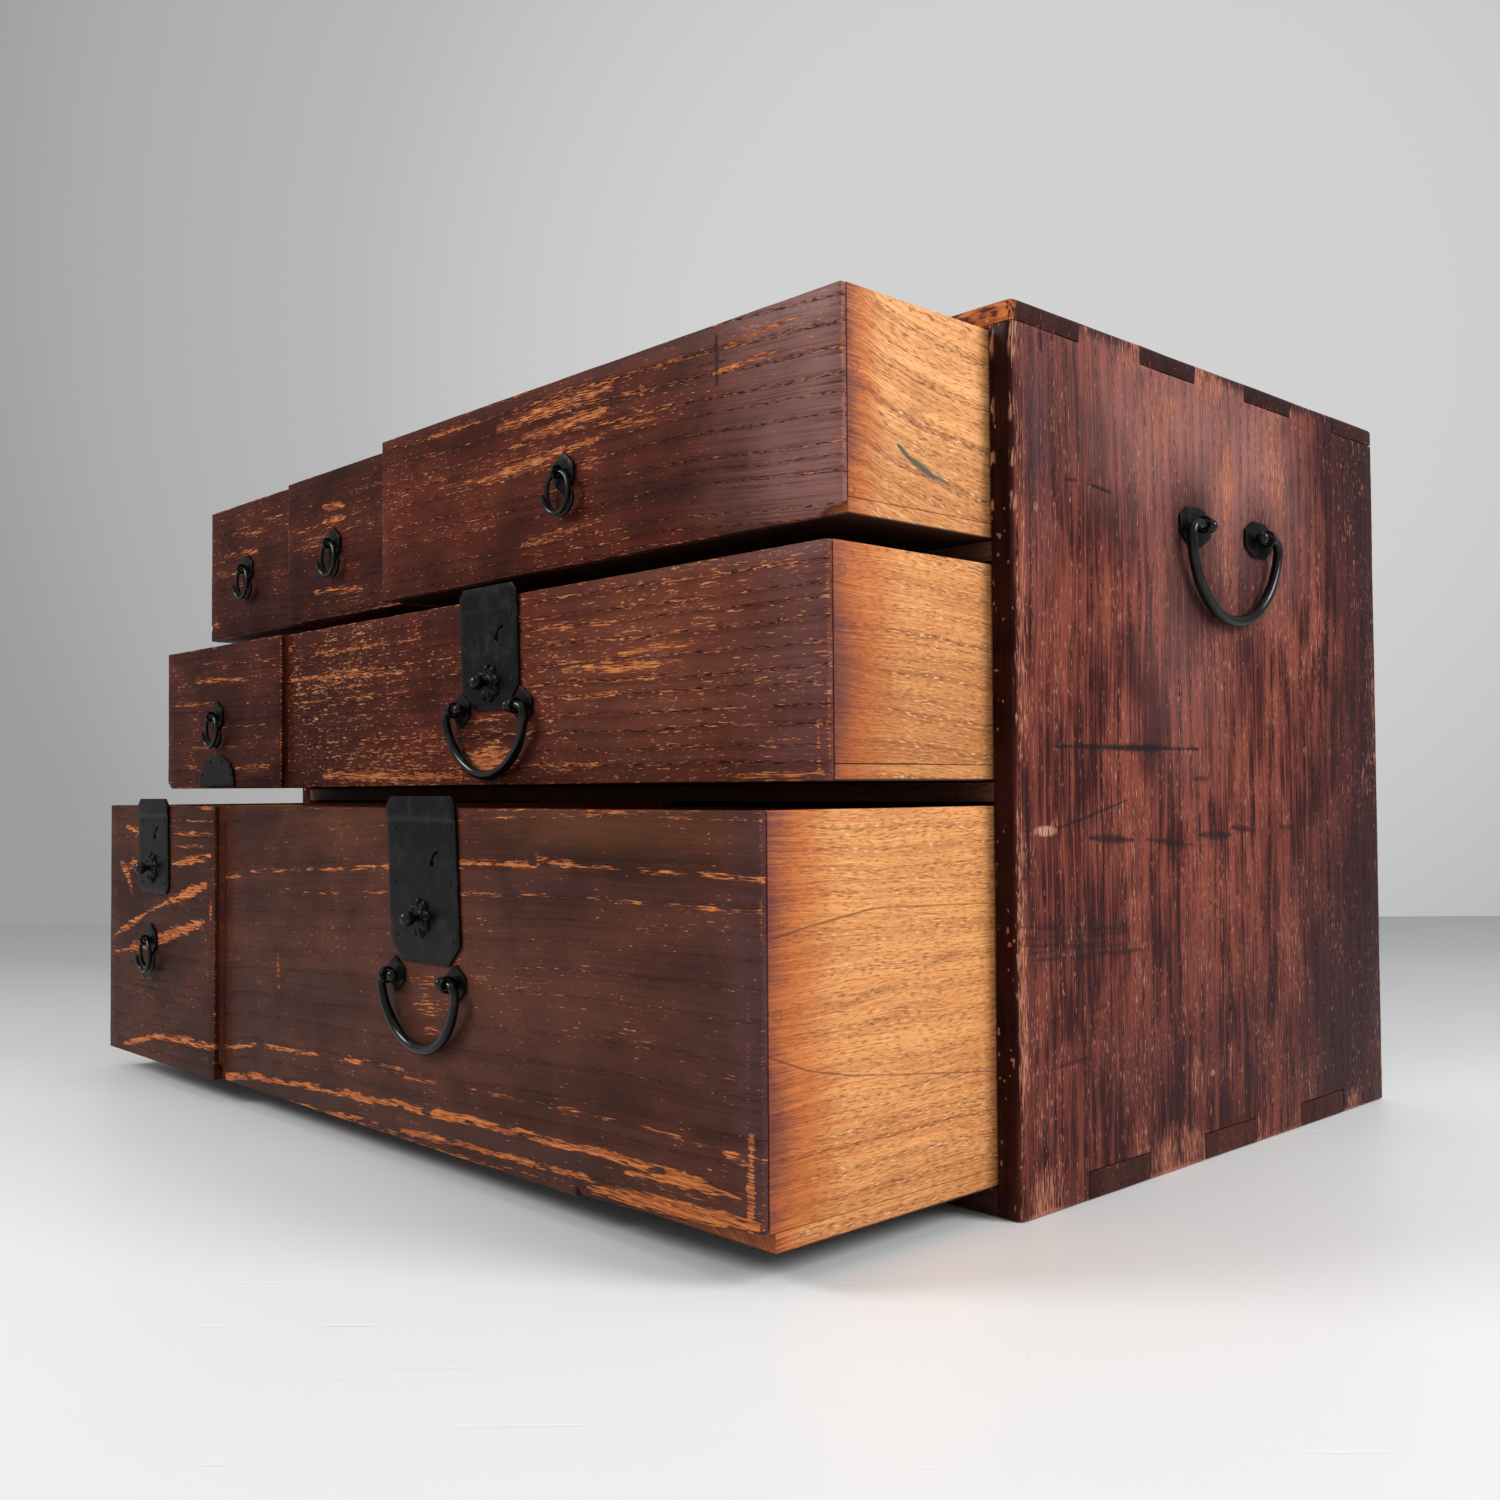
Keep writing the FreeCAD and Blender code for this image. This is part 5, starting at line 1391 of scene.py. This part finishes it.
def flower():
    parts = []
    for index in range(rosette["petals"]):
        turn = math.tau * index / rosette["petals"] + rosette["turn"]
        petal = addBall(16, 10, rosette["petal"])
        petal.rotation_euler = (0, -turn, 0)
        petal.location = [v * mm for v in (rosette["radius"] * math.cos(turn), -0.3,
                                           rosette["radius"] * math.sin(turn))]
        use(petal)
        bpy.ops.object.transform_apply(location=True, rotation=True, scale=True)
        parts.append(petal)
    parts += [addRod(32, radius, thick, 0, rear - thick / 2, 0) for radius, rear, thick in rosette["discs"]]
    bloom = joined("flower", *parts)
    applied(bloom, "REMESH", mode="VOXEL", voxel_size=rosette["grain"] * mm)
    applied(bloom, "SMOOTH", factor=0.6, iterations=2)
    return smoothed(cutAway(bloom, addBox("rear", (-20, 0, -20), (20, 9, 20))), 50)


def lockKnob(name):
    outline = lockParts["knob"]
    clearSelection()
    bpy.ops.mesh.primitive_plane_add(size=mm)
    knob = bpy.context.object
    knob.name = name
    edit(knob, "VERT")
    selectAll()
    bpy.ops.mesh.merge(type="CENTER")
    picked(knob, "verts", lambda v: True)
    bpy.ops.transform.translate(value=(outline[0][0] * mm, -outline[0][1] * mm, 0))
    for (x, y), (nextX, nextY) in zip(outline, outline[1:]):
        bpy.ops.mesh.extrude_vertices_move(
            TRANSFORM_OT_translate={"value": ((nextX - x) * mm, (y - nextY) * mm, 0)})
    spun((0, 1, 0), 0.00003)
    return smoothed(outward(knob), 45)


def makeLock(name, lock, bloom):
    short = camel(name)
    face = case["front"] - drawers[name]["pull"]
    half, lean, tab = lock["width"] / 2, lock["lean"] / 2, lock["tab"]
    foot, sole, clip = lock["foot"], tab - lock["length"], lockParts["clip"]
    corners = [(half - clip - lean, tab), (-half + clip - lean, tab), (-half - lean, tab - clip),
               (-half + lean, sole + foot), (-half + foot + lean, sole), (half - foot + lean, sole),
               (half + lean, sole + foot), (half - lean, tab - clip)]
    knobX, knobZ = lock["knob"]
    holes = (*keyTools(*lock["key"]), addRod(24, lockParts["stem"], 8, knobX, 0, knobZ))
    plate = ironPlate("plate", corners, *holes)
    edit(plate, "VERT")
    for cut in lockParts["fold"]:
        selectAll()
        bpy.ops.mesh.bisect(plane_co=(0, 0, -cut * mm), plane_no=(0, 0, 1))
    # the strip folded over the upper end stands a little prouder
    raised(plate, lambda v: v.co.z > -sum(lockParts["fold"]) / 2 * mm and v.co.y < -0.5 * mm)
    aside, down, up = lockParts["nails"]
    inset, low = half - aside, sole + foot + up
    spots = [(-inset, -down), (inset, -down), (lean - inset, low), (inset + lean, low)]
    if lock["middleNails"]:
        spots += [(-inset, (low - down) / 2), (inset, (low - down) / 2)]
    rose = settled(copied(bloom, "bloom"), knobX, -lockParts["bloomOut"], knobZ)
    whole = smoothed(joined(short + "LockPlate", plate, *[nailHead(*spot) for spot in spots], rose), 42)
    forged(settled(whole, lock["x"], face, lock["top"]), name + "_drawer", name + "_lock_plate")
    for tool in keyTools(*lock["key"]):
        cutAway(bpy.data.objects[short + "Front"],
                settled(tool, lock["x"], face + lockParts["keyDepth"], lock["top"]))
    knob = settled(lockKnob(short + "Knob"), lock["x"] + knobX, face, lock["top"] + knobZ)
    forged(knob, name + "_knob", name + "_lock_knob", rubbed)


bloom = flower()
for name, lock in locks.items():
    makeLock(name, lock, bloom)


bpy.data.objects.remove(bloom)

# the half-round plate over a neighbour's lock; outline and nails of its right half
keeper = {
    "x": -237.0,
    "foot": 189.2,
    "outline": ((28.0, 1.3), (26.8, 8.0), (25.0, 12.0), (20.0, 17.0), (12.0, 20.4), (7.0, 22.0)),
    "nails": ((22.4, 9.4), (9.0, 18.0)),
}


def makeKeeper():
    first, *others = keeper["outline"]
    corners = [(-first[0], first[1]), first, *others, *[(-x, z) for x, z in reversed(others)]]
    heads = [nailHead(side * x, z) for x, z in keeper["nails"] for side in (-1, 1)]
    whole = smoothed(joined("middleLeftKeeper", ironPlate("plate", corners), *heads), 42)
    face = case["front"] - drawers["middle_left"]["pull"]
    whole = settled(whole, keeper["x"], face, keeper["foot"])
    forged(whole, "middle_left_drawer", "middle_left_half_round_plate")


makeKeeper()
print("locks done")

# room and light

room = {
    "wall": 2.07,       # floor's far edge from the camera, m
    "floor": 9.0,       # its side, m
    "sink": 0.0004,
    "span": 2.2,
    "floorTones": ((0.0, 0.75), (0.42, 0.77), (0.55, 0.8), (0.74, 0.86), (0.9, 0.84), (1.06, 0.66),
                   (1.68, 0.35), (2.07, 0.3)),      # (m from the camera, grey): painted light, the floor darker with distance as the light falls off
    "sky": 0.5,
    "glow": (300 / 1457, 370 / 1457),       # brightest place of the backdrop, right of and over the aim
    "skyTones": ((-1.0, 0.55), (0.0, 0.45), (0.6, 0.31), (0.776, 0.34), (0.823, 0.41), (0.898, 0.48),
                 (0.941, 0.575), (0.972, 0.63), (1.0, 0.64)),       # (cosine from that place, grey)
}


def makeFloor():
    forward, right = aim()[:2]
    flat = Vector((forward.x, forward.y, 0)).normalized()
    size, span = room["floor"], room["span"]
    middle = Vector(view["place"]) + flat * (room["wall"] - size / 2)
    clearSelection()
    bpy.ops.mesh.primitive_plane_add(size=size, location=(middle.x, middle.y, -room["sink"]),
                                     rotation=(0, 0, view["yaw"]))
    floor = bpy.context.object
    floor.name = "floor"
    bpy.ops.object.transform_apply(location=True, rotation=True, scale=True)
    f = Finish(bpy.data.materials.new("paleFloor"))
    where = f.place()
    x, y = where["X"], where["Y"]
    away = (x * flat.x + y * flat.y) / 1000 - (view["place"][0] * flat.x + view["place"][1] * flat.y)
    side = (x * right.x + y * right.y) / 1000
    # painted light: the floor's grey falls with distance from the camera, standing in for the light's
    # falloff
    colour = f.ramp(away / span, [(far / span, tone) for far, tone in room["floorTones"]])
    smear = f.noise(x / 130, y / 130, 3.0, 4, 0.62)
    scratch = f.smooth(f.noise(side * 9 + smear * 2, away * 160, 1.0, 2), 0.66, 0.74)
    speck = f.smooth(f.noise(x / 2.4, y / 2.4, 7.0, 1), 0.79, 0.83)
    colour = f.mix(f.smooth(smear, 0.35, 0.7) * 0.05, colour, (0.55, 0.56, 0.57))
    colour = f.mix(speck * 0.45, colour, (0.3, 0.3, 0.3))
    colour = f.mix(1.0, colour, (0.982, 1.0, 1.006), "MULTIPLY")
    floor.data.materials.append(f.surface(
        {"Specular IOR Level": 0.35}, Base_Color=colour, Roughness=smear * 0.2 + 0.32,
        Normal=f.bump(scratch * -1.0 + smear * 0.5, 0.0003, 0.5)))


def makeSky():
    world = bpy.data.worlds.new("paleRoom")
    bpy.context.scene.world = world
    f = Finish(world)
    forward, right, up = aim()
    centre = (forward + right * room["glow"][0] + up * room["glow"][1]).normalized()
    where = f.node("TexCoord", None, None, "Generated")
    facing = f.vector("DOT_PRODUCT", "Value", where, tuple(centre))
    backdrop = f.ramp(facing * 0.5 + 0.5, [((cosine + 1) / 2, tone) for cosine, tone in room["skyTones"]])
    paths = f.node("LightPath").socket.node.outputs
    shown = f.highest(Wire(f, paths["Is %s Ray" % kind]) for kind in ("Camera", "Glossy", "Transmission"))
    colour = f.mix(shown, (room["sky"],) * 3, backdrop)
    light = f.node("Background", None, {"Color": colour, "Strength": 1.0})
    f.node("OutputWorld", None, {"Surface": light})


# place, size and power
lamps = {
    "frontLamp": ((-1.3, -2.1, 1.7), 1.1, 44.0),
    "sideLamp": ((2.3, 0.7, 1.5), 1.2, 50.0),
    "highLamp": ((0.1, -0.2, 2.6), 1.6, 8.0),
}


def makeLamps():
    target = Vector((0, -0.1, 0.2))
    for name, (place, size, power) in lamps.items():
        clearSelection()
        bpy.ops.object.light_add(type="AREA", location=place)
        lamp = bpy.context.object
        lamp.name = name
        lamp.data.shape = "DISK"
        lamp.data.size = size
        lamp.data.energy = power
        lamp.rotation_euler = (target - Vector(place)).to_track_quat("-Z", "Y").to_euler()


makeFloor()
makeSky()
makeLamps()
bpy.context.scene.view_settings.view_transform = "Standard"
print("room and lamps done")
